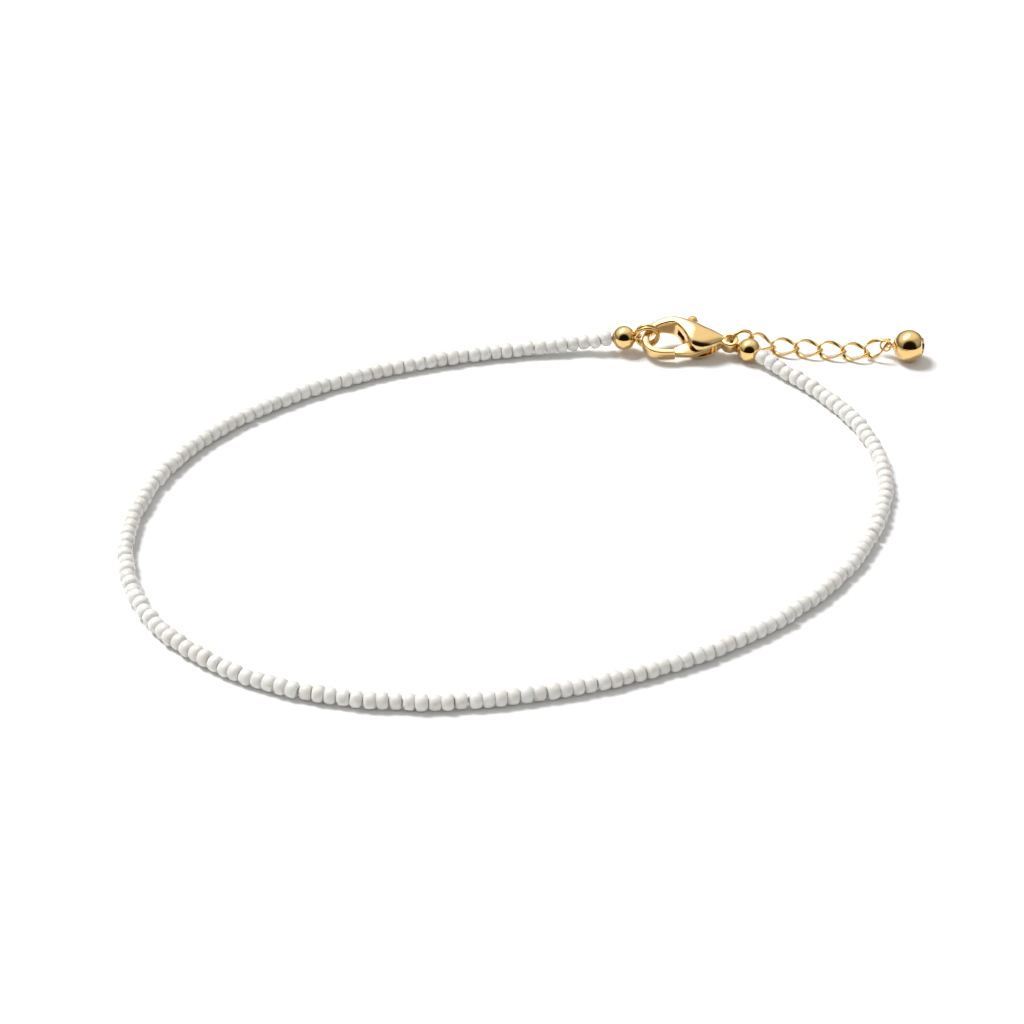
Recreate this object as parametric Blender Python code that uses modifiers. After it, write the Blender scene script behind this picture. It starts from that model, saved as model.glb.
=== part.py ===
"""Beaded anklet: a closed loop of small white glass beads, joined by a lobster clasp, with a short
extension chain that ends in a ball. It lies on a flat surface, as it does when it is put down.

Lengths are in metres and +Z is up. The layout below has the beads' loop round its own origin, and one
empty moves all of it, so that the world origin is the middle of the footprint, on the surface.
"""

import math

import bmesh
import bpy
from mathutils import Euler, Matrix, Vector

# Place of the footprint's middle in the layout
FOOTPRINT_MIDDLE_X = 0.00325
FOOTPRINT_MIDDLE_Y = 0.0003

# Gap that touching pieces keep, and the play of a piece that turns in another
CONTACT_GAP = 0.00008
TURNING_PLAY = 0.00003
# How much longer a cutter is than what it cuts
CUTTER_REACH = 1.5

# Beads on their thread
BEAD_DIAMETER = 0.0018
STRAND_POINTS = 64
STRAND_BEVEL_RESOLUTION = 2
ROUTE_STEPS = 24

# The strand's route round the ankle, from the left ball to the right one. Its two ends follow the balls.
STRAND_ROUTE = (
    (0.0080, 0.0332, 0.0013),
    (0.0044, 0.0328, 0.0011),
    (-0.0032, 0.0316, 0.0008),
    (-0.0106, 0.0295, 0.0008),
    (-0.0177, 0.0267, 0.0008),
    (-0.0244, 0.0230, 0.0008),
    (-0.0305, 0.0183, 0.0008),
    (-0.0356, 0.0126, 0.0008),
    (-0.0394, 0.0059, 0.0008),
    (-0.0415, -0.0015, 0.0008),
    (-0.0418, -0.0091, 0.0008),
    (-0.0400, -0.0166, 0.0008),
    (-0.0361, -0.0232, 0.0008),
    (-0.0305, -0.0284, 0.0008),
    (-0.0238, -0.0321, 0.0008),
    (-0.0164, -0.0341, 0.0008),
    (-0.0087, -0.0347, 0.0008),
    (-0.0011, -0.0340, 0.0008),
    (0.0064, -0.0323, 0.0008),
    (0.0136, -0.0297, 0.0008),
    (0.0205, -0.0263, 0.0008),
    (0.0268, -0.0219, 0.0008),
    (0.0323, -0.0166, 0.0008),
    (0.0368, -0.0104, 0.0008),
    (0.0401, -0.0034, 0.0008),
    (0.0417, 0.0041, 0.0008),
    (0.0412, 0.0117, 0.0008),
    (0.0386, 0.0189, 0.0008),
    (0.0343, 0.0250, 0.0008),
    (0.0318, 0.0277, 0.0011),
)

# Ball ends that hide the thread's knots
END_COVER_DIAMETER = 0.0029
END_COVER_LENGTH = 0.00275
COVER_LOOP_WIRE = 0.00032
COVER_LOOP_PLAY = 0.00008
# How much of its wire the loop sinks into the ball, and how far round the ball's side is curved
COVER_LOOP_SINK = 0.6
COVER_SIDE_ARC = math.radians(74.0)
LEFT_COVER_ON_RING_DROP = 0.0003
RIGHT_COVER_HEADING = math.radians(-45.4)
RIGHT_COVER_SIDE = math.radians(-58.0)

# Lobster clasp
CLASP_LENGTH = 0.0116
CLASP_WIDTH = 0.00544
CLASP_DEPTH = 0.0034
CLASP_PLACE = Vector((0.02120, 0.03239, 0.00185))
CLASP_TILT = math.radians(21.0)
LEVER_THICKNESS = 0.00087
LEVER_SIDE_PLAY = 0.0001
LEVER_GATE_GAP = 0.00012
LEVER_BOSS_RADIUS = 0.0009
KNOB_DIAMETER = 0.0013
KNOB_SEAT = 0.00023
PIN_DIAMETER = 0.00056
PIN_LENGTH = 0.0020
EYELET_OUTER_DIAMETER = 0.00209
EYELET_HOLE_DIAMETER = 0.00134
EYELET_HEIGHT = 0.0014
EYELET_EDGE_ROUNDING = 0.00022

# Rings
LEFT_RING_DIAMETER = 0.0031
LEFT_RING_WIRE = 0.00055
LEFT_RING_LEAN = math.radians(8.0)
LEFT_RING_SET_BACK = 0.00012
RIGHT_RING_DIAMETER = 0.0032
RIGHT_RING_WIRE = 0.00038
RIGHT_RING_HEADING = math.radians(20.0)
RIGHT_RING_LIFT = 0.00015

# Extension chain
LINK_PITCH = 0.0028
LINK_WIDTH = 0.00235
LINK_WIRE = 0.00022
LINK_PLAY = 0.00026
LINK_TWIST = math.radians(-45.0)
LINK_POINTS = 14
# Each link's heading on the surface and how far it leans back, in degrees
LINK_TURNS = ((-7.3, 95.0), (-7.3, 55.0), (-7.3, 55.0), (-7.3, 55.0), (-7.3, 55.0), (39.7, 60.0))
FIRST_LINK_SLACK = 0.0002
LAST_LINK_RISE = 0.0002
END_LOOP_DIAMETER = 0.0021
END_LOOP_WIRE = 0.0003
END_LOOP_HEADING = math.radians(-53.0)
END_LOOP_LEAN = math.radians(112.0)
END_LOOP_SEAT = 0.0004

# Ball and headed wire at the chain's end
END_BALL_DIAMETER = 0.00375
END_BALL_FACE = 0.0003
HEAD_PIN_WIRE = 0.0004
HEAD_PIN_EYE_DIAMETER = 0.0013
PIN_HEAD_DIAMETER = 0.00165
PIN_HEAD_THICKNESS = 0.00015
PIN_HEAD_GAP = 0.00003
END_BALL_HEADING = math.radians(-12.0)

# Sides of the round solids
BALL_SIDES = 14
BALL_STEPS = 8
KNOB_SIDES = 12
KNOB_STEPS = 8
END_BALL_SIDES = 16
END_BALL_STEPS = 10
RING_SIDES = 16
WIRE_SIDES = 6
BORE_SIDES = 12
PIN_WIRE_SIDES = 8
SECTION_POINTS = 16
MERGE_DISTANCE = 1e-6
SMOOTH_ANGLE = math.radians(40.0)

# Where the lever turns, as shares of the clasp's length and width
PIVOT = (0.151, -0.083)

# The claw from its tip round the hook to the eyelet. Each row holds the outer edge (along, across), the
# inner edge (along, across), the depth, and how square the section is on its outer and inner side.
# Along is a share of the clasp's length, across of its width, and depth of its depth.
CLAW_SECTIONS = (
    (-0.293, -0.379, -0.284, -0.254, 0.42, 5.0, 5.0),
    (-0.397, -0.322, -0.353, -0.211, 0.42, 4.0, 5.0),
    (-0.470, -0.184, -0.401, -0.119, 0.42, 3.0, 5.0),
    (-0.498, 0.000, -0.418, 0.018, 0.44, 2.5, 5.0),
    (-0.474, 0.221, -0.401, 0.175, 0.44, 2.2, 5.0),
    (-0.414, 0.414, -0.353, 0.294, 0.50, 2.2, 5.0),
    (-0.342, 0.544, -0.293, 0.364, 0.56, 2.2, 6.0),
    (-0.227, 0.619, -0.227, 0.390, 0.71, 2.2, 6.0),
    (-0.121, 0.610, -0.151, 0.368, 0.82, 2.2, 6.0),
    (-0.026, 0.551, -0.099, 0.239, 0.91, 2.2, 6.0),
    (0.043, 0.506, -0.052, 0.055, 0.97, 2.2, 6.0),
    (0.097, 0.460, -0.026, -0.110, 1.00, 2.2, 6.0),
    (0.138, 0.417, 0.017, -0.248, 0.98, 2.2, 5.0),
    (0.172, 0.377, 0.097, -0.307, 0.91, 2.2, 3.5),
    (0.228, 0.316, 0.178, -0.276, 0.82, 2.2, 3.0),
    (0.295, 0.224, 0.259, -0.193, 0.68, 2.2, 2.5),
    (0.336, 0.165, 0.328, -0.101, 0.53, 2.2, 2.2),
    (0.371, 0.110, 0.371, -0.074, 0.40, 2.2, 2.2),
)
# The section that the left ring hangs round
HOOK_SECTION = 4
# The claw's tip lies on an arc round the pivot, between these two shares of the width
TIP_ACROSS = (-0.379, -0.254)
TIP_SECTION = (0.42, 5.0, 5.0)
# How far the gate's end is from the pivot, as a share of the clasp's length
GATE_REACH = 0.3276

# Slot that the lever swings in, and the cut that shows the gate, as shares of length and width
SLOT_OUTLINE = (
    (-0.121, -0.520),
    (0.298, -0.520),
    (0.298, 0.060),
    (0.263, 0.130),
    (0.263, 0.880),
    (-0.043, 0.880),
    (-0.043, 0.330),
    (-0.140, 0.300),
)
LIP_OUTLINE = (
    (-0.130, -0.520),
    (0.310, -0.560),
    (0.310, 0.070),
    (0.245, -0.006),
    (0.196, -0.096),
    (0.146, -0.164),
    (0.079, -0.217),
    (0.041, -0.226),
    (-0.009, -0.171),
    (-0.130, -0.171),
)
# The lever's edge from the gate's end along the near side, and back from the boss by way of the knob
GATE_ACROSS = (-0.351, -0.208)
LEVER_NEAR_EDGE = (
    (-0.060, -0.351),
    (0.009, -0.349),
    (0.069, -0.322),
    (0.129, -0.268),
)
LEVER_FAR_EDGE = (
    (0.121, 0.165),
    (0.093, 0.520),
    (-0.019, 0.520),
    (-0.017, 0.221),
    (-0.030, -0.037),
    (-0.078, -0.099),
)
# The knob sits on the stalk's end, here
KNOB_SEAT_PLACE = (0.037, 0.520)
BOSS_ARC = (math.radians(-50.0), math.radians(65.0))
BOSS_POINTS = 6
TIP_ARC_POINTS = 4

GOLD = (0.83, 0.62, 0.28, 1.0)
CAST_GOLD = (0.74, 0.56, 0.26, 1.0)
WHITE_GLASS = (0.90, 0.90, 0.88, 1.0)


def clear_scene():
    for obj in list(bpy.data.objects):
        bpy.data.objects.remove(obj, do_unlink=True)


def new_collection(name, shown=True):
    collection = bpy.data.collections.new(name)
    collection.hide_render = not shown
    bpy.context.scene.collection.children.link(collection)
    return collection


def new_material(name, colour, roughness, metallic):
    material = bpy.data.materials.new(name)
    material.use_nodes = True
    surface = material.node_tree.nodes["Principled BSDF"]
    surface.inputs["Base Color"].default_value = colour
    surface.inputs["Roughness"].default_value = roughness
    surface.inputs["Metallic"].default_value = metallic
    return material


def polished_gold():
    return new_material("polished_gold_plate", GOLD, 0.12, 1.0)


def cast_gold():
    return new_material("cast_gold_plate", CAST_GOLD, 0.3, 1.0)


def white_glass():
    return new_material("opaque_white_glass", WHITE_GLASS, 0.2, 0.0)


def add_object(name, data, collection, material=None, parent=None):
    obj = bpy.data.objects.new(name, data)
    collection.objects.link(obj)
    obj.parent = parent
    if material:
        data.materials.append(material)
    return obj


def mesh_from(name, shape, smooth=True):
    """A mesh from a bmesh, with its faces turned outwards."""
    bmesh.ops.recalc_face_normals(shape, faces=shape.faces)
    mesh = bpy.data.meshes.new(name)
    shape.to_mesh(mesh)
    shape.free()
    if smooth:
        mesh.shade_smooth()
        mesh.set_sharp_from_angle(angle=SMOOTH_ANGLE)
    return mesh


def ring_mesh(name, diameter, wire):
    """A wire ring in the XY plane; diameter is its outer one."""
    shape = bmesh.new()
    middle = (diameter - wire) / 2
    rows = []
    for i in range(RING_SIDES):
        around = Matrix.Rotation(math.tau * i / RING_SIDES, 4, "Z")
        row = []
        for j in range(WIRE_SIDES):
            turn = math.tau * (j + 0.5) / WIRE_SIDES
            point = Vector((middle + wire / 2 * math.cos(turn), 0.0, wire / 2 * math.sin(turn)))
            row.append(shape.verts.new(around @ point))
        rows.append(row)
    bridge(shape, rows, closed=True)
    return mesh_from(name, shape)


def bridge(shape, rows, closed):
    """Joins each row of points to the next with quads; a closed one joins the last to the first."""
    count = len(rows[0])
    for i in range(len(rows) - (0 if closed else 1)):
        here = rows[i]
        there = rows[(i + 1) % len(rows)]
        for j in range(count):
            k = (j + 1) % count
            shape.faces.new((here[j], here[k], there[k], there[j]))


def cylinder(name, diameter, depth, collection, sides=BORE_SIDES, material=None, parent=None):
    """A closed cylinder along Z, centred on its origin."""
    shape = bmesh.new()
    bmesh.ops.create_cone(
        shape,
        cap_ends=True,
        segments=sides,
        radius1=diameter / 2,
        radius2=diameter / 2,
        depth=depth,
    )
    return add_object(name, mesh_from(name, shape), collection, material, parent)


def prism(name, outline, half_height, collection, base=None, smooth=False):
    """A flat outline in XY made solid along Z, from base to half_height, or both ways if base is None."""
    bottom = -half_height if base is None else base
    shape = bmesh.new()
    lower = [shape.verts.new((x, y, bottom)) for x, y in outline]
    upper = [shape.verts.new((x, y, half_height)) for x, y in outline]
    bridge(shape, [lower, upper], closed=False)
    shape.faces.new(reversed(lower))
    shape.faces.new(upper)
    return add_object(name, mesh_from(name, shape, smooth), collection)


def boolean(obj, other, operation):
    modifier = obj.modifiers.new(other.name, "BOOLEAN")
    modifier.operation = operation
    modifier.object = other
    modifier.solver = "EXACT"
    other.hide_render = True
    other.display_type = "WIRE"


def clasp_matrix():
    """The clasp's own frame: X along it, Y across it, and Z through its depth."""
    return Matrix.Translation(CLASP_PLACE) @ Matrix.Rotation(CLASP_TILT, 4, "X")


def in_clasp(share):
    """Shares of the clasp's length and width, as a place in its own frame."""
    return Vector((share[0] * CLASP_LENGTH, share[1] * CLASP_WIDTH, 0.0))


def on_arc_round_pivot(across, radius):
    """The point left of the pivot at this height across, on the arc of that radius."""
    pivot = in_clasp(PIVOT)
    rise = across - pivot.y
    return Vector((pivot.x - math.sqrt(radius**2 - rise**2), across, 0.0))


def claw_rows():
    """Outer edge, inner edge, depth and squareness of each of the claw's sections, in metres."""
    reach = GATE_REACH * CLASP_LENGTH + LEVER_GATE_GAP
    outer, inner = [on_arc_round_pivot(share * CLASP_WIDTH, reach) for share in TIP_ACROSS]
    depth, outer_square, inner_square = TIP_SECTION
    rows = [(outer, inner, depth * CLASP_DEPTH, outer_square, inner_square)]
    for out_x, out_y, in_x, in_y, depth, outer_square, inner_square in CLAW_SECTIONS:
        outer = in_clasp((out_x, out_y))
        inner = in_clasp((in_x, in_y))
        rows.append((outer, inner, depth * CLASP_DEPTH, outer_square, inner_square))
    return rows


def claw_section(outer, inner, depth, outer_square, inner_square):
    """A closed row of points round one section: a rounded outer side and a squarer inner one."""
    middle = (outer + inner) / 2
    half = (outer - inner) / 2
    points = []
    for i in range(SECTION_POINTS):
        turn = math.tau * i / SECTION_POINTS
        power = 2 / (outer_square if math.cos(turn) > 0 else inner_square)
        side = math.copysign(abs(math.cos(turn)) ** power, math.cos(turn))
        rise = math.copysign(abs(math.sin(turn)) ** power, math.sin(turn))
        points.append(middle + side * half + Vector((0.0, 0.0, rise * depth / 2)))
    return points


def claw_mesh():
    shape = bmesh.new()
    rows = [[shape.verts.new(point) for point in claw_section(*row)] for row in claw_rows()]
    bridge(shape, rows, closed=False)
    shape.faces.new(rows[0])
    shape.faces.new(reversed(rows[-1]))
    return mesh_from("clasp_body", shape)


def eyelet_centre():
    return Vector(((CLASP_LENGTH - EYELET_OUTER_DIAMETER) / 2, 0.0, 0.0))


def collar_profile():
    """Radius and height of the eyelet's collar, from its top to its bottom."""
    radius = EYELET_OUTER_DIAMETER / 2
    half = EYELET_HEIGHT / 2
    inner = radius - EYELET_EDGE_ROUNDING
    low = half - EYELET_EDGE_ROUNDING
    return [(0.0, half), (inner, half), (radius, low), (radius, -low), (inner, -half), (0.0, -half)]


def add_clasp_body(parts, cutters, material, clasp):
    body = add_object("clasp_body", claw_mesh(), parts, material, clasp)
    collar = turned("eyelet_collar", collar_profile(), cutters)
    hole = cylinder("eyelet_hole", EYELET_HOLE_DIAMETER, EYELET_HEIGHT * CUTTER_REACH, cutters)
    bore = cylinder("pin_bore", PIN_DIAMETER + 2 * TURNING_PLAY, PIN_LENGTH + 2 * CONTACT_GAP, cutters)
    slot_half = LEVER_THICKNESS / 2 + LEVER_SIDE_PLAY
    slot_outline = [in_clasp(share).xy for share in SLOT_OUTLINE]
    slot = prism("lever_slot", slot_outline, slot_half, cutters)
    lip_outline = [in_clasp(share).xy for share in LIP_OUTLINE]
    lip = prism("upper_lip", lip_outline, CLASP_DEPTH, cutters, base=LEVER_THICKNESS / 2)
    collar.location = eyelet_centre()
    hole.location = eyelet_centre()
    bore.location = in_clasp(PIVOT)
    for tool in (collar, hole, bore, slot, lip):
        tool.parent = clasp
    for tool in (slot, lip):
        boolean(body, tool, "DIFFERENCE")
    boolean(body, collar, "UNION")
    for tool in (hole, bore):
        boolean(body, tool, "DIFFERENCE")


def lever_outline():
    """The lever's flat outline round the pivot, anticlockwise from the gate's near corner."""
    pivot = in_clasp(PIVOT)
    reach = GATE_REACH * CLASP_LENGTH
    near, far = [share * CLASP_WIDTH for share in GATE_ACROSS]
    points = [in_clasp(share) for share in LEVER_NEAR_EDGE]
    for i in range(BOSS_POINTS):
        turn = BOSS_ARC[0] + (BOSS_ARC[1] - BOSS_ARC[0]) * i / (BOSS_POINTS - 1)
        reach_out = Vector((math.cos(turn), math.sin(turn), 0.0)) * LEVER_BOSS_RADIUS
        points.append(pivot + reach_out)
    points += [in_clasp(share) for share in LEVER_FAR_EDGE]
    for i in range(TIP_ARC_POINTS):
        across = far + (near - far) * i / (TIP_ARC_POINTS - 1)
        points.append(on_arc_round_pivot(across, reach))
    return [(point - pivot).xy for point in points]


def add_lever(parts, cutters, material, clasp):
    """The gate with its knob. Its origin is on the pivot."""
    lever = prism("clasp_lever", lever_outline(), LEVER_THICKNESS / 2, parts, smooth=True)
    lever.data.materials.append(material)
    lever.parent = clasp
    lever.location = in_clasp(PIVOT)
    ball = bmesh.new()
    bmesh.ops.create_uvsphere(ball, u_segments=KNOB_SIDES, v_segments=KNOB_STEPS, radius=KNOB_DIAMETER / 2)
    knob = add_object("lever_knob", mesh_from("lever_knob", ball), cutters, parent=lever)
    rise = Vector((0.0, KNOB_DIAMETER / 2 - KNOB_SEAT, 0.0))
    knob.location = in_clasp(KNOB_SEAT_PLACE) + rise - in_clasp(PIVOT)
    bore_length = LEVER_THICKNESS * CUTTER_REACH
    bore = cylinder("lever_bore", PIN_DIAMETER + 2 * TURNING_PLAY, bore_length, cutters)
    bore.parent = lever
    boolean(lever, knob, "UNION")
    boolean(lever, bore, "DIFFERENCE")


def add_clasp_pin(parts, material, clasp):
    pin = cylinder("clasp_pin", PIN_DIAMETER, PIN_LENGTH, parts, BORE_SIDES, material, clasp)
    pin.location = in_clasp(PIVOT)


def add_ring(name, diameter, wire, centre, rotation, parts, material, root):
    ring = add_object(name, ring_mesh(name, diameter, wire), parts, material, root)
    ring.location = centre
    ring.rotation_euler = rotation
    return ring


def left_ring_centre():
    """The left ring hangs in the claw's hook, so it stands clear of the hook's inner side."""
    out_x, out_y, in_x, in_y = CLAW_SECTIONS[HOOK_SECTION][:4]
    hook = clasp_matrix() @ in_clasp(((out_x + in_x) / 2, (out_y + in_y) / 2))
    return hook + Vector((LEFT_RING_SET_BACK, 0.0, 0.0))


def heading(angle):
    """The level direction at this angle from +X."""
    return Vector((math.cos(angle), math.sin(angle), 0.0))


def right_ring_reach():
    """From the right ring's middle to the middle of its wire."""
    return (RIGHT_RING_DIAMETER - RIGHT_RING_WIRE) / 2


def right_ring_centre():
    """The right ring's wire passes down through the middle of the eyelet."""
    eyelet = clasp_matrix() @ eyelet_centre()
    reach = right_ring_reach() + CONTACT_GAP
    return eyelet + heading(RIGHT_RING_HEADING) * reach + Vector((0.0, 0.0, RIGHT_RING_LIFT))


def cover_loop_diameter(ring_wire):
    return ring_wire + 2 * COVER_LOOP_PLAY + 2 * COVER_LOOP_WIRE


def cover_profile():
    """Half of the squat ball's outline, from its top on the axis down to its bottom."""
    radius = END_COVER_DIAMETER / 2
    half = END_COVER_LENGTH / 2
    points = [(0.0, half)]
    for i in range(BALL_STEPS + 1):
        rise = COVER_SIDE_ARC * (1 - 2 * i / BALL_STEPS)
        points.append((radius * math.cos(rise), half * math.sin(rise) / math.sin(COVER_SIDE_ARC)))
    points.append((0.0, -half))
    return points


def turned(name, profile, collection, material=None, parent=None):
    """A solid turned about Z from a profile at +X that runs from its top to its bottom."""
    mesh = bpy.data.meshes.new(name)
    edges = [(i, i + 1) for i in range(len(profile) - 1)]
    mesh.from_pydata([(radius, 0.0, height) for radius, height in profile], edges, [])
    obj = add_object(name, mesh, collection, material, parent)
    screw = obj.modifiers.new("turned", "SCREW")
    screw.steps = BALL_SIDES
    screw.render_steps = BALL_SIDES
    screw.use_merge_vertices = True
    screw.merge_threshold = MERGE_DISTANCE
    screw.use_smooth_shade = True
    return obj


def add_cover(name, centre, axis, loop_centre, loop_axis, ring_wire, sets):
    """A ball end with its loop. Its axis points from the loop's side towards the beads."""
    parts, cutters, material, root = sets
    cover = turned(name, cover_profile(), parts, material, root)
    cover.location = centre
    cover.rotation_euler = Vector(axis).to_track_quat("Z", "Y").to_euler()
    loop_name = name + "_loop"
    mesh = ring_mesh(loop_name, cover_loop_diameter(ring_wire), COVER_LOOP_WIRE)
    loop = add_object(loop_name, mesh, cutters, parent=root)
    loop.location = loop_centre
    loop.rotation_euler = Vector(loop_axis).to_track_quat("Z", "Y").to_euler()
    boolean(cover, loop, "UNION")


def left_cover_places():
    """Centre of the left ball and of its loop, which lies flat round the left ring's wire."""
    ring = left_ring_centre()
    reach = (LEFT_RING_DIAMETER - LEFT_RING_WIRE) / 2
    loop = ring - Vector((reach, 0.0, 0.0))
    gap = LEFT_RING_WIRE / 2 + CONTACT_GAP + END_COVER_LENGTH / 2
    centre = loop - Vector((gap, 0.0, LEFT_COVER_ON_RING_DROP))
    return centre, loop


def right_cover_places():
    """Centre of the right ball, on the surface, and of its loop round the right ring's lowest wire."""
    loop_radius = cover_loop_diameter(RIGHT_RING_WIRE) / 2
    loop = right_ring_centre() - Vector((0.0, 0.0, right_ring_reach()))
    loop.z = max(loop.z, loop_radius + CONTACT_GAP)
    reach = END_COVER_DIAMETER / 2 + loop_radius - COVER_LOOP_SINK * COVER_LOOP_WIRE
    rise = END_COVER_DIAMETER / 2 - loop.z
    centre = loop + heading(RIGHT_COVER_SIDE) * math.sqrt(reach**2 - rise**2)
    centre.z = END_COVER_DIAMETER / 2
    return centre, loop


def smooth_route(points, count):
    """Evenly spaced points on the smooth curve through the chosen ones."""
    padded = [2 * points[0] - points[1]] + list(points) + [2 * points[-1] - points[-2]]
    fine = []
    for i in range(1, len(padded) - 2):
        before, start, end, after = padded[i - 1 : i + 3]
        for j in range(ROUTE_STEPS):
            t = j / ROUTE_STEPS
            fine.append(
                0.5
                * (
                    2 * start
                    + (end - before) * t
                    + (2 * before - 5 * start + 4 * end - after) * t**2
                    + (3 * start - before - 3 * end + after) * t**3
                )
            )
    fine.append(padded[-2])
    travelled = [0.0]
    for here, there in zip(fine, fine[1:]):
        travelled.append(travelled[-1] + (there - here).length)
    even = []
    span = 0
    for i in range(count):
        target = travelled[-1] * i / (count - 1)
        while span < len(fine) - 2 and travelled[span + 1] < target:
            span += 1
        share = (target - travelled[span]) / (travelled[span + 1] - travelled[span])
        even.append(fine[span].lerp(fine[span + 1], share))
    return even


def strand_points():
    """The strand's centre line: from the left ball's mouth by the chosen points to the right one's."""
    reach = END_COVER_LENGTH / 2 + CONTACT_GAP
    left = left_cover_places()[0] - Vector((reach, 0.0, 0.0))
    right = right_cover_places()[0] + heading(RIGHT_COVER_HEADING) * reach
    route = [left] + [Vector(point) for point in STRAND_ROUTE] + [right]
    points = smooth_route(route, STRAND_POINTS)
    for point in points:
        point.z = max(point.z, BEAD_DIAMETER / 2)
    return points


def add_wire(name, points, diameter, resolution, closed, parts, material, root):
    """A round wire or tube along points, as a curve with a bevel."""
    curve = bpy.data.curves.new(name, "CURVE")
    curve.dimensions = "3D"
    curve.bevel_depth = diameter / 2
    curve.bevel_resolution = resolution
    curve.use_fill_caps = not closed
    spline = curve.splines.new("POLY")
    spline.points.add(len(points) - 1)
    spline.use_cyclic_u = closed
    for spot, point in zip(spline.points, points):
        spot.co = (*point, 1.0)
    return add_object(name, curve, parts, material, root)


def link_points():
    """One twisted link's centre line, round its own middle, with X along the chain."""
    half_length = (LINK_PITCH + LINK_PLAY + LINK_WIRE) / 2
    half_width = (LINK_WIDTH - LINK_WIRE) / 2
    points = []
    for i in range(LINK_POINTS):
        turn = math.tau * i / LINK_POINTS
        twist = LINK_TWIST * math.cos(turn)
        across = half_width * math.sin(turn)
        along = half_length * math.cos(turn)
        points.append(Vector((along, across * math.cos(twist), across * math.sin(twist))))
    return points


def resting_height(points, wire, turn):
    """How high a wire shape's middle lies when its lowest wire touches the surface."""
    return wire / 2 - min((turn @ point).z for point in points)


def link_turn(number, rise=0.0):
    toward, lean = LINK_TURNS[number]
    return Euler((math.radians(lean), -rise, math.radians(toward)))


def link_direction(number):
    return heading(math.radians(LINK_TURNS[number][0]))


def first_link():
    """Middle and turn of the first link, from the right ring's far wire down to the second link."""
    points = link_points()
    low = resting_height(points, LINK_WIRE, link_turn(1).to_matrix())
    wire = right_ring_centre() + heading(RIGHT_RING_HEADING) * right_ring_reach()
    slack = (RIGHT_RING_WIRE - LINK_PLAY) / 2 + CONTACT_GAP
    start = wire - link_direction(0) * slack
    reach = LINK_PITCH - FIRST_LINK_SLACK
    rise = math.asin((low - start.z) / reach)
    step = link_turn(0, rise).to_matrix() @ Vector((reach, 0.0, 0.0))
    return start, start + step, link_turn(0, rise)


def chain_places():
    """Middle and turn of each link, and the place where the last one holds the end loop."""
    points = link_points()
    start, joint, turn = first_link()
    places = [((start + joint) / 2, turn)]
    for number in range(1, len(LINK_TURNS)):
        turn = link_turn(number)
        middle = joint + link_direction(number) * LINK_PITCH / 2
        middle.z = resting_height(points, LINK_WIRE, turn.to_matrix())
        if number == len(LINK_TURNS) - 1:
            middle.z += LAST_LINK_RISE
        places.append((middle, turn))
        joint = joint + link_direction(number) * LINK_PITCH
        joint.z = middle.z
    return places, joint


def add_chain(parts, material, root):
    points = link_points()
    for number, (middle, turn) in enumerate(chain_places()[0]):
        name = f"chain_link_{number + 1}"
        link = add_wire(name, points, LINK_WIRE, 1, True, parts, material, root)
        link.location = middle
        link.rotation_euler = turn


def end_loop_place():
    """Middle of the end loop, its turn, and its far wire's middle, which the pin's eye is round."""
    joint = chain_places()[1]
    reach = (END_LOOP_DIAMETER - END_LOOP_WIRE) / 2
    near = joint - link_direction(len(LINK_TURNS) - 1) * END_LOOP_SEAT
    near -= heading(END_LOOP_HEADING) * END_LOOP_WIRE / 2
    rise = math.asin((END_BALL_DIAMETER / 2 - near.z) / (2 * reach))
    turn = Euler((END_LOOP_LEAN, -rise, END_LOOP_HEADING))
    step = turn.to_matrix() @ Vector((reach, 0.0, 0.0))
    return near + step, turn, near + 2 * step


def end_ball_axis():
    return heading(END_BALL_HEADING)


def pin_eye_reach():
    """From the end ball's middle to the middle of the eye, which touches the ball."""
    return (END_BALL_DIAMETER + HEAD_PIN_EYE_DIAMETER) / 2 - HEAD_PIN_WIRE / 4


def end_ball_centre():
    """The end ball lies on the surface, past its pin's eye, which the last loop passes through."""
    centre = end_loop_place()[2] + end_ball_axis() * pin_eye_reach()
    centre.z = END_BALL_DIAMETER / 2
    return centre


def add_end_ball(parts, cutters, material, root):
    shape = bmesh.new()
    bmesh.ops.create_uvsphere(
        shape, u_segments=END_BALL_SIDES, v_segments=END_BALL_STEPS, radius=END_BALL_DIAMETER / 2
    )
    ball = add_object("end_ball", mesh_from("end_ball", shape), parts, material, root)
    ball.location = end_ball_centre()
    ball.rotation_euler = end_ball_axis().to_track_quat("Z", "Y").to_euler()
    bore_diameter = HEAD_PIN_WIRE + 2 * CONTACT_GAP
    bore = cylinder("ball_bore", bore_diameter, END_BALL_DIAMETER * CUTTER_REACH, cutters, parent=ball)
    face_depth = END_BALL_DIAMETER
    face = cylinder("ball_face", END_BALL_DIAMETER, face_depth, cutters, RING_SIDES, parent=ball)
    face.location.z = end_ball_face() + face_depth / 2
    boolean(ball, bore, "DIFFERENCE")
    boolean(ball, face, "DIFFERENCE")


def end_ball_face():
    """From the ball's middle to the flat face that the pin's head lies against."""
    return END_BALL_DIAMETER / 2 - END_BALL_FACE


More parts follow.
